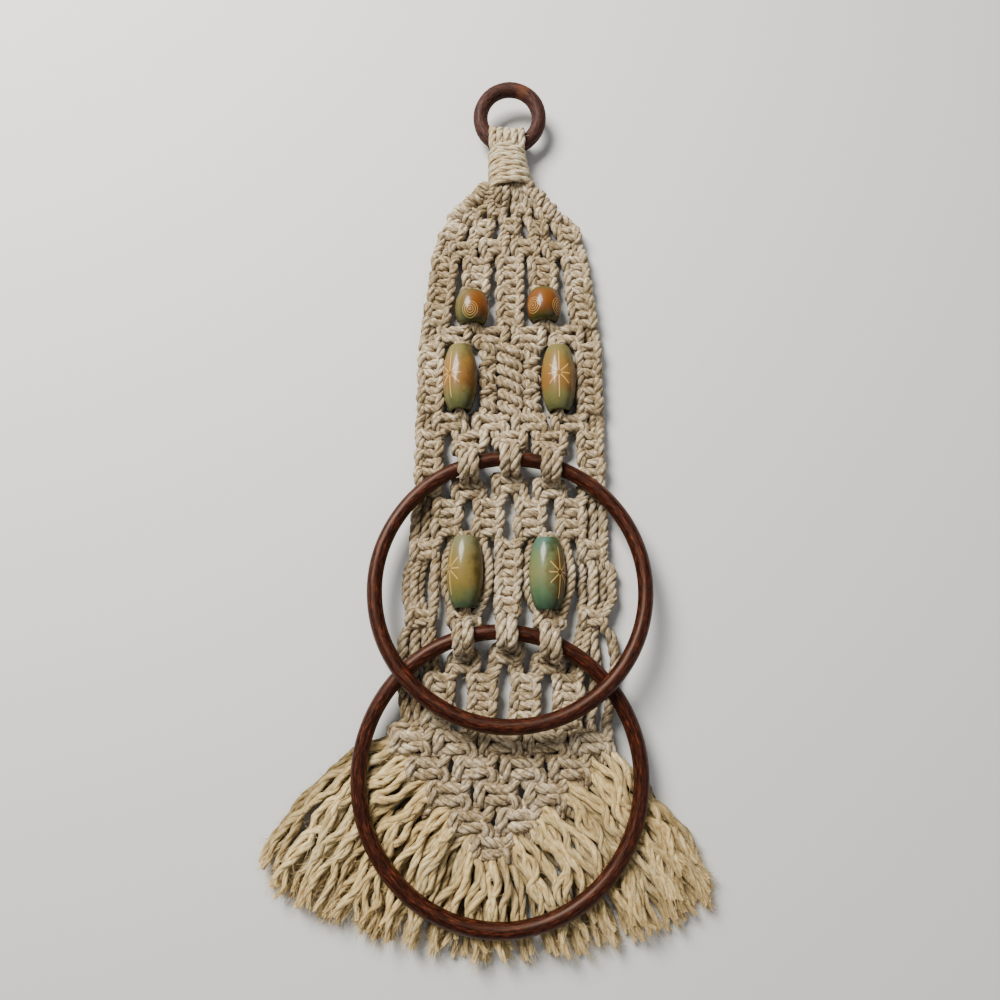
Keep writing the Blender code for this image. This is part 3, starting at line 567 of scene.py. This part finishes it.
ruffle = node("TexNoise", {
    "W": given["Seed"], "Scale": 1.0 / (RUFFLE_MM * MM), "Detail": 2.0}, noise_dimensions="4D")
ruffled = node("GeometryNodeSetPosition", {
    "Geometry": skin,
    "Offset": node("VectorMath", {
        0: node("VectorMath", {0: ruffle.outputs["Color"], 1: (0.5, 0.5, 0.5)}, operation="SUBTRACT"),
        "Scale": given["Unevenness"]}, operation="SCALE")})

# Distance and height from the cord's middle, in radii of the cord, are kept for the yarn's painted shade.
core_to_skin = node("VectorMath", {0: place, 1: core}, operation="SUBTRACT")
marked = ruffled
for label, value in (
    ("crest", node("VectorMath", {0: place, 1: core}, operation="DISTANCE").outputs["Value"]),
    ("lift", node("SeparateXYZ", {0: core_to_skin}).outputs["Z"]),
):
    marked = node("GeometryNodeStoreNamedAttribute", {
        "Geometry": marked, "Name": label,
        "Value": node("Math", {0: value, 1: width}, operation="DIVIDE")}, data_type="FLOAT", domain="POINT")

# Loose fibres of the wool stand out from its skin.
HAIR_MM, HAIR_RADIUS_MM = (1.2, 3.4), 0.085
CURL_MM, CURL_REACH_MM = 2.4, 4.0
OUTERMOST, UNDERSIDE = 0.78, -0.2  # they grow this many radii or more from the middle, and not underneath
HAIR_LEAN = 0.9                    # how far a fibre may lean away from straight out
MORE, LONGER, TRAILING = 40.0, 1.3, 3.0   # an opened end sheds more and longer fibres, which trail along it
facing = node("SeparateXYZ", {0: node("GeometryNodeInputNormal").outputs["Normal"]}).outputs["Z"]
outside = node("Math", {
    0: node("Math", {0: facing, 1: UNDERSIDE}, operation="GREATER_THAN"),
    1: node("Math", {0: crest, 1: OUTERMOST}, operation="GREATER_THAN")}, operation="MULTIPLY")
opened = node("Math", {0: end, 1: given["Opening"]}, operation="MULTIPLY")
fuzzier = node("Math", {
    0: node("Math", {0: opened, 1: end}, operation="MULTIPLY"), 1: MORE, 2: 1.0}, operation="MULTIPLY_ADD")
shed = node("GeometryNodeDistributePointsOnFaces", {
    "Mesh": marked, "Seed": 4, "Selection": outside,
    "Density": node("Math", {0: given["Hairs per area"], 1: fuzzier}, operation="MULTIPLY")}).outputs
leaning = node("FunctionNodeRandomValue", {
    "Min": [-HAIR_LEAN] * 3, "Max": [HAIR_LEAN] * 3, "Seed": 5}, data_type="FLOAT_VECTOR")
trailing = node("VectorMath", {
    0: ahead, "Scale": node("Math", {0: opened, 1: TRAILING}, operation="MULTIPLY")}, operation="SCALE")
hair = node("GeometryNodeResampleCurve", {
    "Curve": node("GeometryNodeCurvePrimitiveLine", {"End": (0.0, 0.0, MM)}), "Count": 3})
hairs = node("GeometryNodeInstanceOnPoints", {
    "Points": shed["Points"], "Instance": hair,
    "Rotation": node("FunctionNodeAlignRotationToVector", {
        "Vector": node("VectorMath", {
            0: node("VectorMath", {0: shed["Normal"], 1: leaning}, operation="ADD"),
            1: trailing}, operation="ADD")}, axis="Z"),
    "Scale": node("Math", {
        0: node("FunctionNodeRandomValue", {
            "Min": HAIR_MM[0], "Max": HAIR_MM[1], "Seed": 6}, data_type="FLOAT"),
        1: node("Math", {0: opened, 1: LONGER, 2: 1.0}, operation="MULTIPLY_ADD")}, operation="MULTIPLY")})
curl = node("TexNoise", {"Scale": 1.0 / (CURL_MM * MM), "Detail": 0.0})
curled = node("GeometryNodeSetPosition", {
    "Geometry": node("GeometryNodeRealizeInstances", {"Geometry": hairs}),
    "Offset": node("VectorMath", {
        0: node("VectorMath", {0: curl.outputs["Color"], 1: (0.5, 0.5, 0.5)}, operation="SUBTRACT"),
        "Scale": node("Math", {
            0: node("GeometryNodeSplineParameter").outputs["Factor"],
            1: CURL_REACH_MM * MM}, operation="MULTIPLY")}, operation="SCALE")})
fuzz = node("GeometryNodeCurveToMesh", {
    "Curve": curled, "Fill Caps": True,
    "Profile Curve": node("GeometryNodeCurvePrimitiveCircle", {
        "Resolution": 3, "Radius": HAIR_RADIUS_MM * MM})})

# Whatever would sink into the floor is pressed flat on it.
with_fuzz = node("GeometryNodeJoinGeometry", {"Geometry": fuzz})
plied.links.new(marked.outputs[0], with_fuzz.inputs[0])
parts = node("SeparateXYZ", {0: place}).outputs
rested = node("GeometryNodeSetPosition", {
    "Geometry": with_fuzz,
    "Position": node("CombineXYZ", {
        "X": parts["X"], "Y": parts["Y"],
        "Z": node("Math", {0: parts["Z"], 1: 0.0}, operation="MAXIMUM")})})
soft = node("GeometryNodeSetShadeSmooth", {"Geometry": rested})
real = node("GeometryNodeRealizeInstances", {"Geometry": soft})
dyed = node("GeometryNodeSetMaterial", {"Geometry": real, "Material": given["Yarn"]})
node("NodeGroupOutput", {"Yarn": dyed})


def spun_yarn(name, dye, shadow, groove_from=0.41, lowest=0.1, flank=0.55, lit_from=7.5,
              fibre="#A39378", tips=0.0, varied=0.12):
    """Soft spun wool yarn: rough and matt, with a pale fuzz. Painted shade darkens it between its plies,
    low down and on its flanks; tips lifts that painted shade towards the ends.
    """
    material, shader, node = new_material(name, {
        "Roughness": 0.95, "Sheen Weight": 0.14, "Sheen Roughness": 0.5, "Specular IOR Level": 0.2})
    object_place = node("TexCoord").outputs["Object"]
    patch_mm, fleck_mm, fibre_length_mm, fibres_around = 24.0, 2.2, 5.0, 1.7
    patches = node("TexNoise", {"Vector": object_place, "Scale": 1.0 / (patch_mm * MM), "Detail": 3.0})
    flecks = node("TexNoise", {
        "Vector": object_place, "Scale": 1.0 / (fleck_mm * MM), "Detail": 3.0, "Roughness": 0.6})
    blend = node("Mix", {"Factor": 0.6, "A": patches, "B": flecks}, data_type="FLOAT")
    dyed_wool = node("ValToRGB", {"Fac": blend}, stops=dye)
    crest, lift, shift, end, along = (
        node("Attribute", attribute_name=label).outputs["Fac"]
        for label in ("crest", "lift", "shift", "end", "along"))
    # Painted shade between the plies: the colour darkens where the skin lies near the cord's middle.
    groove_shade = node("MapRange", {
        "Value": crest, "From Min": groove_from, "From Max": 0.98}, interpolation_type="SMOOTHSTEP")
    # Painted shade low down: the colour darkens towards the floor, below lit_from millimetres up.
    height = node("MapRange", {
        "Value": node("SeparateXYZ", {0: object_place}).outputs["Z"], "From Min": 1.0 * MM,
        "From Max": lit_from * MM, "To Min": lowest})
    # Painted shade on the flanks and underside of every cord.
    side = node("MapRange", {"Value": lift, "From Min": -0.3, "From Max": 0.7, "To Min": flank})
    odd = node("Math", {0: node("Math", {0: shift, 1: 9.0}, operation="MULTIPLY")}, operation="SINE")
    tone = node("Math", {          # one strand is a little darker than the next
        0: odd, 1: 0.5 * varied, 2: 1.0 - 0.5 * varied}, operation="MULTIPLY_ADD")
    lit = node("Math", {
        0: node("Math", {0: groove_shade, 1: height}, operation="MULTIPLY"),
        1: node("Math", {0: side, 1: tone}, operation="MULTIPLY")}, operation="MULTIPLY")
    # The painted shade mixes the dye towards the shadow colour; near opened ends, tips lifts it.
    tip = node("Math", {0: end, 1: tips}, operation="MULTIPLY")
    shaded = node("Mix", {
        "Factor": node("Math", {0: lit, 1: tip}, operation="MAXIMUM"), "A": colour(shadow),
        "B": dyed_wool.outputs["Color"]}, data_type="RGBA")
    around = node("Attribute", attribute_name="round").outputs["Vector"]
    fibre_place = node("VectorMath", {
        0: around, 1: (fibres_around, fibres_around, 0.0),
        2: node("CombineXYZ", {
            "Z": node("Math", {0: along, 1: 1.0 / (fibre_length_mm * MM)}, operation="MULTIPLY"),
        })}, operation="MULTIPLY_ADD")
    fibres = node("TexNoise", {"Vector": fibre_place, "Scale": 1.0, "Detail": 2.0, "Roughness": 0.65})
    fibre_shade = node("ValToRGB", {"Fac": fibres}, stops=((0.32, fibre), (0.60, "#FFFFFF")))
    streaked = node("Mix", {
        "Factor": 1.0, "A": shaded,
        "B": fibre_shade.outputs["Color"]}, data_type="RGBA", blend_type="MULTIPLY")
    finish_surface(shader, streaked.outputs[2], fibres, 0.7, 0.4)
    return material


NET_YARN = spun_yarn("oatmeal_wool_yarn", (
    (0.33, "#867351"), (0.44, "#B09A76"), (0.54, "#D4C09E"), (0.66, "#FBECD1")), "#2A1D08")


def lay_yarn(name, routes, radius, yarn, turn_mm=12.0, ply=(0.48, 0.55), step=1.3, rough=0.4,
             opening=0.0, hairs=0.02):
    """Turn routes into plied yarn, as one plain mesh.

    A route's points are across, along, up and thickness. Ply holds its distance and radius as shares of the
    cord's radius.
    """
    longest = 6.0                  # longer stretches get points between, so that the curve stays even
    mesh = bpy.data.meshes.new(name)
    points, edges, values = [], [], {"thick": [], "end": [], "phase": [], "shift": []}
    for route in routes:
        shift = phase = hand.uniform(0.0, math.tau)
        first = len(points)
        finer = [Vector(route[0])]
        for near, far in zip(route, route[1:]):
            near, far = Vector(near), Vector(far)
            parts = max(1, math.ceil((far.to_3d() - near.to_3d()).length / longest))
            finer += [near.lerp(far, (part + 1) / parts) for part in range(parts)]
        for index, spot in enumerate(finer):
            if index:              # a thicker stretch is looser, and its plies turn less
                gap = (spot.to_3d() - finer[index - 1].to_3d()).length
                phase += math.tau * gap / turn_mm * (min(1.0, spot[3] ** -3.0) - 1.0)
            points.append(at(*spot[:3]))
            towards_end = (index / (len(finer) - 1)) ** 3
            for label, value in zip(values, (spot[3], towards_end, phase, shift)):
                values[label].append(value)
        edges += [(index, index + 1) for index in range(first, len(points) - 1)]
    mesh.from_pydata(points, edges, [])
    for label, numbers in values.items():
        mesh.attributes.new(label, "FLOAT", "POINT").data.foreach_set("value", numbers)
    made = add_object(name, mesh)
    maker = made.modifiers.new("plied_yarn", "NODES")
    maker.node_group = plied
    sizes = {
        "Cord radius": radius * MM, "Plies": 3, "Turn length": turn_mm * MM, "Ply distance": ply[0],
        "Ply radius": ply[1], "Step": step * MM, "Sides": 7, "Unevenness": rough * MM,
        "Opening": opening, "Seed": 3.0, "Hairs per area": hairs / MM ** 2, "Yarn": yarn,
    }
    for socket in plied.interface.items_tree:
        if socket.in_out == "INPUT" and socket.name in sizes:
            maker[socket.identifier] = sizes[socket.name]
    bpy.context.view_layer.update()
    made.data = bpy.data.meshes.new_from_object(made.evaluated_get(bpy.context.evaluated_depsgraph_get()))
    made.modifiers.clear()
    made.data.name = name
    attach(made, "root")
    return made


for part, label in enumerate(("outer_left", "inner_left", "inner_right", "outer_right")):
    net = lay_yarn(f"net_cords_{label}", cords[5 * part:5 * part + 5], 0.5 * CORD, NET_YARN)
    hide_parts("knotted_body")

# Cords folded over the hanging ring: five loops side by side, whose ends go down inside the winding.
LOOP_CORD, LOOP_SPACING, LOOPS_X = 5.0, 4.4, 4.3
PALE_YARN = spun_yarn("cream_wool_yarn", (
    (0.33, "#B8A17B"), (0.44, "#D3BF99"), (0.54, "#E8DABA"), (0.66, "#FFF6E2")), "#4A3819",
    groove_from=0.3, lowest=0.5, flank=0.6, fibre="#BFB096")
hanging_loops = []
for index in range(5):
    offset = LOOP_SPACING * (index - 2)
    x = LOOPS_X + offset
    along = math.sqrt(SMALL_RING ** 2 - (x - HANGER.x) ** 2)
    tube = Vector((x, HANGER.y - along * math.cos(HANGER_TILT), HANGER.z + along * math.sin(HANGER_TILT)))
    reach = SMALL_TUBE + 0.5 * LOOP_CORD + 1.5 - 2.4 * ((x - HANGER.x) / 10.0) ** 2
    foot = 0.5 * (x + WRAP_X) + 0.1 * offset
    route = [(foot, 196.0, 12.8, 0.8), (foot, 208.0, 13.4, 0.9), (foot, 215.5, 14.4, 0.95),
             (x, 219.4, tube.z + 5.8, 1.0)]
    for step in range(7):
        turn = 0.5 * math.pi - math.pi * step / 6
        bend = Vector((0.0, reach * SMALL_RING / along * math.cos(turn), reach * math.sin(turn)))
        route.append((*(tube + bend), 1.0 + hand.uniform(-0.06, 0.06)))
    route += [(x, 219.4, tube.z - 5.8, 1.0), (foot, 215.5, 5.8, 0.95), (foot, 208.0, 6.0, 0.9),
              (foot, 196.0, 6.4, 0.8)]
    hanging_loops.append(route)
loops = lay_yarn("hanging_loops", hanging_loops, 0.5 * LOOP_CORD, PALE_YARN, turn_mm=17.0, ply=(0.42, 0.6))
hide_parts("knotted_body")

# ----------------------------------------------------------------------
# Winding.
# One long end of the same yarn, wound tightly round the folded cords below the hanging ring and drawn in
# under itself. Its eight turns lie close together, slope a little and are pulled flat.
WRAP_TOP, WRAP_BOTTOM = 217.4, 191.4
WRAP_WIDTH, WRAP_HEIGHT = 26.4, 19.8
WRAP_TURNS, TURN_STEPS = 7.6, 20
ARCH = 2.0                         # the turns sag at the sides
WRAP_YARN = 3.9
turns_route = []
for step in range(round(WRAP_TURNS * TURN_STEPS) + 1):
    turn = math.tau * step / TURN_STEPS + 1.2
    share = step / (WRAP_TURNS * TURN_STEPS)
    belly = 0.88 + 0.16 * share
    lean = 2.2 * (share - 0.6)
    across, up = (                 # the oval is a little squarer than an ellipse
        0.5 * (size - WRAP_YARN) * math.copysign(abs(share_out) ** 0.8, share_out)
        for size, share_out in ((WRAP_WIDTH, math.cos(turn)), (WRAP_HEIGHT, math.sin(turn))))
    slope = 1.6 + 0.9 * math.sin(2.3 * math.floor(turn / math.tau))
    y = WRAP_TOP + (WRAP_BOTTOM - WRAP_TOP) * share + slope * math.cos(turn) + ARCH * math.sin(turn)
    level = 0.5 * WRAP_HEIGHT + up + hand.uniform(-0.3, 0.3)
    turns_route.append((WRAP_X + lean + belly * across, y, level, 1.0))
winding = lay_yarn("winding", [turns_route], 0.5 * WRAP_YARN, PALE_YARN, turn_mm=24.0,
                   ply=(0.40, 0.62), step=1.0)
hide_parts("gathering_wrap")

# ----------------------------------------------------------------------
# Beads.
# Turned clay beads with a wide bore, glazed in amber that runs to olive and sea green at the ends. Stars and
# rings are cut into the clay before glazing, and gather pale glaze. The cords of one four carry each bead.
BEAD_RADIUS, BEAD_BORE, BEAD_END = 10.0, 3.8, 5.9
LINE, RAY_ACROSS, RAY_ALONG = 0.34, 6.4, 14.0      # cut lines: half their width, and how far a star reaches
RING_GAP, RING_REACH = 1.35, 4.9
# AMBER_SHADE, GOLD_SHADE and OLIVE_SHADE are darker copies of their glaze, as painted shade.
AMBER = ((0.06, "#3A3812"), (0.22, "#59350F"), (0.50, "#744012"), (0.80, "#744617"), (0.95, "#4E4A20"))
AMBER_SHADE = ((0.06, "#2A280D"), (0.22, "#46290A"), (0.50, "#5C300B"), (0.80, "#603A11"), (0.95, "#3E3A17"))
OLIVE_SIDE = ((0.05, "#464A2C"), (0.30, "#5C542A"), (0.60, "#665629"), (0.95, "#6C6A46"))
GOLD = ((0.05, "#4C4E2A"), (0.20, "#686235"), (0.38, "#80592A"), (0.66, "#87642D"), (0.92, "#746B3C"))
GOLD_SHADE = ((0.05, "#262A10"), (0.20, "#3A3713"), (0.38, "#573913"), (0.66, "#5C3F16"), (0.92, "#504922"))
OLIVE = ((0.04, "#38462E"), (0.16, "#56592F"), (0.34, "#78642C"), (0.64, "#7C6A36"), (0.95, "#716F4E"))
OLIVE_SHADE = ((0.04, "#182818"), (0.16, "#2C3211"), (0.34, "#483A12"), (0.64, "#4A3B15"), (0.95, "#454524"))
TEAL = ((0.05, "#334C37"), (0.22, "#4E6646"), (0.50, "#727449"), (0.74, "#63744C"), (0.95, "#48695B"))
# The teal bead really turns brown on its right side; this colour is that, darkened as painted shade.
TEAL_SIDE_AND_SHADE = ((0.05, "#22321E"), (0.25, "#483E17"), (0.60, "#5C4215"), (0.95, "#3A482C"))
# The side colour covers a bead's right side and underside; on the left round bead it is a real second glaze.
GLAZES = {                         # glaze, flank colour, where that starts; motif, along, around, pair
    "round_bead_left": (OLIVE_SIDE, AMBER, 0.20, "rings", 5.4, 14.8, 0.0),
    "round_bead_right": (AMBER, AMBER_SHADE, 0.34, "rings", 7.6, 16.7, 8.6),
    "upper_bead_left": (GOLD, GOLD_SHADE, 0.33, "star", 19.6, 10.0, 0.0),
    "upper_bead_right": (GOLD, GOLD_SHADE, 0.37, "star", 19.8, 15.2, 0.0),
    "lower_bead_left": (OLIVE, OLIVE_SHADE, 0.35, "star", 20.8, 6.2, 0.0),
    "lower_bead_right": (TEAL, TEAL_SIDE_AND_SHADE, 0.27, "star", 19.4, 22.6, 0.0),
}


def glazed_clay(name, length, glaze, side_glaze_and_shade, side_from, motif, motif_y, motif_x, pair):
    """Glazed clay, fired glossy: the glaze runs from colour to colour and is paler in the cut lines.
    Its right side and underside take the side colour, which on most beads is painted shade.
    """
    material, shader, node = new_material(name, {
        "Roughness": 0.4, "Coat Weight": 0.42, "Coat Roughness": 0.14, "Specular IOR Level": 0.15})
    cloud_mm, pit_mm = 5.0, 0.9
    wander, blur = 0.3, 0.09       # how far the colours stray, and how softly the flank's colour begins
    parts = node("SeparateXYZ", {0: node("UVMap", uv_map="UVMap")}).outputs
    object_place = node("TexCoord").outputs["Object"]
    cloud = node("TexNoise", {
        "Vector": object_place, "Scale": 1.0 / (cloud_mm * MM), "Detail": 4.0, "Roughness": 0.6})
    drift = node("Math", {0: cloud, 1: wander, 2: -0.5 * wander}, operation="MULTIPLY_ADD")
    run = node("Math", {0: parts["Y"], 1: 1.0 / length, 2: drift}, operation="MULTIPLY_ADD")
    ramps = [node("ValToRGB", {"Fac": run}, stops=stops).outputs["Color"]
             for stops in (glaze, side_glaze_and_shade)]
    turned = node("Math", {
        0: parts["X"], 1: 1.0 / (math.tau * BEAD_RADIUS), 2: drift}, operation="MULTIPLY_ADD")
    flank = node("MapRange", {
        "Value": turned, "From Min": side_from - blur,
        "From Max": side_from + blur}, interpolation_type="SMOOTHSTEP")
    # Towards the right side and underside the colour turns to the side colour, mostly painted shade.
    glazed = node("Mix", {"Factor": flank, "A": ramps[0], "B": ramps[1]}, data_type="RGBA")
    beside = node("Math", {0: parts["X"], 1: motif_x}, operation="SUBTRACT")
    across = node("Math", {
        0: node("Math", {0: beside}, operation="ABSOLUTE"), 1: pair}, operation="SUBTRACT")
    down = node("Math", {0: parts["Y"], 1: motif_y}, operation="SUBTRACT")
    far = node("VectorMath", {
        0: node("CombineXYZ", {"X": across, "Y": down})}, operation="LENGTH").outputs["Value"]
    if motif == "star":            # eight rays: a ray is about far x sin(4 x angle) / 4 away
        angle = node("Math", {0: across, 1: down}, operation="ARCTAN2")
        swing = node("Math", {0: node("Math", {0: angle, 1: 4.0}, operation="MULTIPLY")}, operation="SINE")
        off_line = node("Math", {
            0: node("Math", {0: swing}, operation="ABSOLUTE"),
            1: node("Math", {0: far, 1: 0.25}, operation="MULTIPLY")}, operation="MULTIPLY")
        line, filled, inner, outer = LINE, 0.70, 1.4, 1.0
        reach = node("VectorMath", {
            0: node("CombineXYZ", {
                "X": node("Math", {0: across, 1: 1.0 / RAY_ACROSS}, operation="MULTIPLY"),
                "Y": node("Math", {0: down, 1: 1.0 / RAY_ALONG}, operation="MULTIPLY"),
            })}, operation="LENGTH").outputs["Value"]
    else:
        wave = node("Math", {
            0: node("Math", {0: far, 1: 1.0 / RING_GAP}, operation="MULTIPLY")}, operation="FRACT")
        off_line = node("Math", {
            0: node("Math", {0: wave, 1: 0.5}, operation="SUBTRACT")}, operation="ABSOLUTE")
        line, filled, inner, outer, reach = 0.17, 0.50, 0.2, RING_REACH, far
    near_line = node("Math", {0: off_line, 1: line}, operation="LESS_THAN")
    within = node("Math", {
        0: node("Math", {0: reach, 1: outer}, operation="LESS_THAN"),
        1: node("Math", {0: far, 1: inner}, operation="GREATER_THAN")}, operation="MULTIPLY")
    cut = node("Math", {0: near_line, 1: within}, operation="MULTIPLY")
    pale = node("Mix", {
        "Factor": node("Math", {0: cut, 1: filled}, operation="MULTIPLY"), "A": glazed,
        "B": colour("#D8AE66")}, data_type="RGBA")
    pitted = node("TexNoise", {"Vector": object_place, "Scale": 1.0 / (pit_mm * MM), "Detail": 2.0})
    surface = node("Math", {
        0: node("Math", {0: pitted, 1: 0.3}, operation="MULTIPLY"), 1: cut}, operation="SUBTRACT")
    finish_surface(shader, pale.outputs[2], surface, 0.7, 0.3)
    return material


def make_bead(name, x, y, length, glaze):
    """Turned bead, its bore along the piece; the pattern runs round from its left side over the top."""
    half = 0.5 * length
    fullness = 0.5 if length < 2.2 * BEAD_RADIUS else 0.75         # a ball, or a barrel
    stations, sides, rim = round(length), 56, 0.5
    profile = []
    for station in range(stations + 1):
        spot = -math.cos(math.pi * station / stations) * half
        swell = max(0.0, 1.0 - (spot / half) ** 2) ** fullness
        profile.append((spot, BEAD_END + (BEAD_RADIUS - BEAD_END) * swell))
    profile += [(half - 0.1, BEAD_BORE + rim), (half - rim, BEAD_BORE), (rim - half, BEAD_BORE),
                (0.1 - half, BEAD_BORE + rim)]
    build = bmesh.new()
    rows = []
    for side in range(sides):
        turn = math.pi - math.tau * side / sides
        across, up = math.cos(turn), math.sin(turn)
        rows.append([build.verts.new(at(x + radius * across, y + spot, BEAD_HEIGHT + radius * up))
                     for spot, radius in profile])
    return skin_rows(name, build, rows, lambda side, index: (
        math.tau * BEAD_RADIUS * side / sides, profile[index % len(profile)][0] + half), glaze)


for name, (x, y, length) in BEADS.items():
    glaze = glazed_clay(f"fired_glaze_{name}", length, *GLAZES[name])
    bead = make_bead(f"glazed_{name}", x, y, length, glaze)
    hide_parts(name)

# ----------------------------------------------------------------------
# Fringe.
# The cord ends left below the point's knots, with cut ends tied in beside them. The yarn is opened, so it is
# softer and creamier than in the knots. It lies in three loose layers that wave and cross a little.
FRINGE_YARN = spun_yarn("opened_cream_wool", (
    (0.30, "#CAA96C"), (0.43, "#E3C589"), (0.56, "#F6DCA2"), (0.70, "#FFF1C8")), "#2E1F08",
    groove_from=0.32, lowest=0.09, flank=0.2, lit_from=9.5, fibre="#CFC2A8", tips=0.9, varied=0.36)
LEFT_TIPS = (                      # share of the way down the point's edge, across, along
    (0.0, -120.0, -187.0), (0.06, -116.0, -198.0), (0.16, -101.0, -208.0), (0.32, -83.0, -214.0),
    (0.52, -60.0, -222.0), (0.75, -36.0, -229.0), (1.0, -4.0, -233.0),
)
RIGHT_TIPS = (
    (0.0, 97.0, -183.0), (0.08, 103.0, -197.0), (0.18, 101.0, -208.0), (0.34, 86.0, -217.0),
    (0.55, 62.0, -224.0), (0.78, 38.0, -229.0), (1.0, -1.0, -233.0),
)
FAN_CENTRE = Vector((0.0, -150.0))
STRANDS = (34, 28, 21)             # from the lowest layer to the top one
BUNCHES = (0.0, 0.2, 0.42, 0.64, 0.86, 1.0)    # shares where the rows of knots end and let their cords go
STRAND = 2.3                       # radius of a strand
LAYER_STEP, ROOT_LEVEL, LOWEST = 3.5, 5.6, 2.1
RING_ROOM = 6.6                    # strands stay this far below the middle of the lower ring's tube


def between(table, share):
    """Place in a table at a share of the way through it."""
    for (low, *near), (high, *far) in zip(table, table[1:]):
        if share <= high:
            return Vector(near).lerp(Vector(far), (share - low) / (high - low))


def fringe_route(side, share, tip, layer, stray):
    """One strand: it leaves the point's edge, bends down towards its tip, and waves."""
    corner = Vector((column_x(3 + 2 * side, -134.0) + 7.0 * side, -130.0))
    point = Vector((column_x(3, TIP_Y) + 1.0 * side, -186.0))
    nearest = min(BUNCHES, key=lambda bunch: abs(bunch - share))
    bunched = share + (nearest - share) * (0.0, 0.25, 0.45)[layer]
    root = corner.lerp(point, bunched) + Vector((-2.5 * side, 1.5))
    reach = (tip - root).length
    straight = (tip - root) / reach
    if side < 0:
        spread = hand.uniform(14.0, 38.0)
    else:
        spread = hand.uniform(-8.0, 14.0) + 20.0 * min(1.0, 2.0 * share)
    turn = math.radians(spread) * side * (1.0 - share ** 6)    # at the point the strands run straight down
    out = Vector((straight.x * math.cos(turn) - straight.y * math.sin(turn),
                  straight.x * math.sin(turn) + straight.y * math.cos(turn)))
    bend = root + out * (0.42 * reach)
    sway = hand.uniform(1.0, 2.0) * (1.8 if stray else 1.0) * (0.7, 1.0, 1.4)[layer]
    shift, wave = hand.uniform(0.0, 6.28), hand.uniform(28.0, 46.0)
    stout = hand.uniform(0.86, 1.12)
    steps = max(8, round(reach / 5.0))
    route = []
    for step in range(steps + 1):
        t = step / steps
        spot = root * (1 - t) ** 2 + bend * (2 * t * (1 - t)) + tip * t ** 2
        turned = math.tau * reach / wave * t + shift
        swing = (math.sin(turned) + 0.35 * math.sin(2.3 * turned)) * min(1.0, 3.0 * t)
        spot += Vector((-straight.y, straight.x)) * (sway * swing)
        from_ring = abs((spot - LOWER_RING.to_2d()).length - BIG_RING)
        ceiling = LOWER_RING.z - math.sqrt(max(0.0, RING_ROOM ** 2 - min(RING_ROOM, from_ring) ** 2))
        rest = STRAND + LAYER_STEP * layer + 0.7 * math.sin(9.0 * t + shift)
        level = max(LOWEST, min(ceiling, ROOT_LEVEL + (rest - ROOT_LEVEL) * min(1.0, 5.0 * t)))
        thick = stout * (0.96 + 0.1 * math.sin(11.0 * t + 2.0 * shift)) * (1.0 - 0.55 * t ** 8)
        route.append((spot.x, spot.y, level, thick))
    return route


for label, side, tips in (("left", -1, LEFT_TIPS), ("right", 1, RIGHT_TIPS)):
    strands = []
    for layer, count in enumerate(STRANDS):
        for index in range(count):
            share = (index + hand.uniform(0.25, 0.75)) / count
            stray = layer == 2 and index % 4 == 2
            aim = share ** 1.25 + 0.05 * (layer == 2) + hand.uniform(-0.03, 0.03) * (3.0 if stray else 1.0)
            tip = between(tips, min(1.0, max(0.0, aim)))
            cut = hand.uniform(*((0.99, 1.05), (0.96, 1.04), (0.86, 1.03))[layer])
            strands.append(fringe_route(side, share, FAN_CENTRE.lerp(tip, cut), layer, stray))
    fringe = lay_yarn(f"fringe_strands_{label}", strands, STRAND, FRINGE_YARN, turn_mm=25.0,
                      ply=(0.34, 0.67), step=2.4, rough=0.35, opening=0.7, hairs=0.014)
    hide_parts(f"fringe_{label}")

# ----------------------------------------------------------------------
# Floor, light and camera.
# A plain pale floor under soft daylight from the upper left. The camera looks down at the middle of the
# piece, from a little nearer the fringe.
floor_build = bmesh.new()
bmesh.ops.create_grid(floor_build, x_segments=1, y_segments=1, size=3.0)
floor_data = bpy.data.meshes.new("floor")
floor_build.to_mesh(floor_data)
floor_build.free()
# Matt white paint: no gloss, so that nothing but soft shadows shows on it.
floor_paint = new_material("matt_white_paint", {"Roughness": 0.8, "Base Color": colour("#DEDDD9")})[0]
floor_data.materials.append(floor_paint)
floor = add_object("floor", floor_data)
floor.location.z = -0.05 * MM


def aim(thing, spot):
    """Place a lamp or the camera, and point it at the middle of the piece."""
    thing.location = at(*spot)
    thing.rotation_euler = (at(0.0, 0.0, 0.0) - thing.location).to_track_quat("-Z", "Y").to_euler()


for name, spot, size, power, code in (
    ("window", (-520.0, 640.0, 900.0), 0.55, 33.0, "#FFFCF6"),
    ("room", (900.0, -500.0, 1300.0), 1.4, 3.4, "#F4F7FF"),
):
    lamp = bpy.data.lights.new(name, "AREA")
    lamp.size = size
    lamp.energy = power
    lamp.color = colour(code)[:3]
    aim(add_object(name, lamp), spot)
world = bpy.data.worlds.new("studio")
world.use_nodes = True
background = world.node_tree.nodes["Background"].inputs
background["Color"].default_value = colour("#F2F4F8")
background["Strength"].default_value = 0.24
bpy.context.scene.world = world

camera_data = bpy.data.cameras.new("camera")
camera_data.lens = 27.72
camera_data.sensor_width = 36.0
camera_data.clip_start = 0.01
camera = add_object("camera", camera_data)
aim(camera, (0.0, -100.0, 426.4))
bpy.context.scene.camera = camera
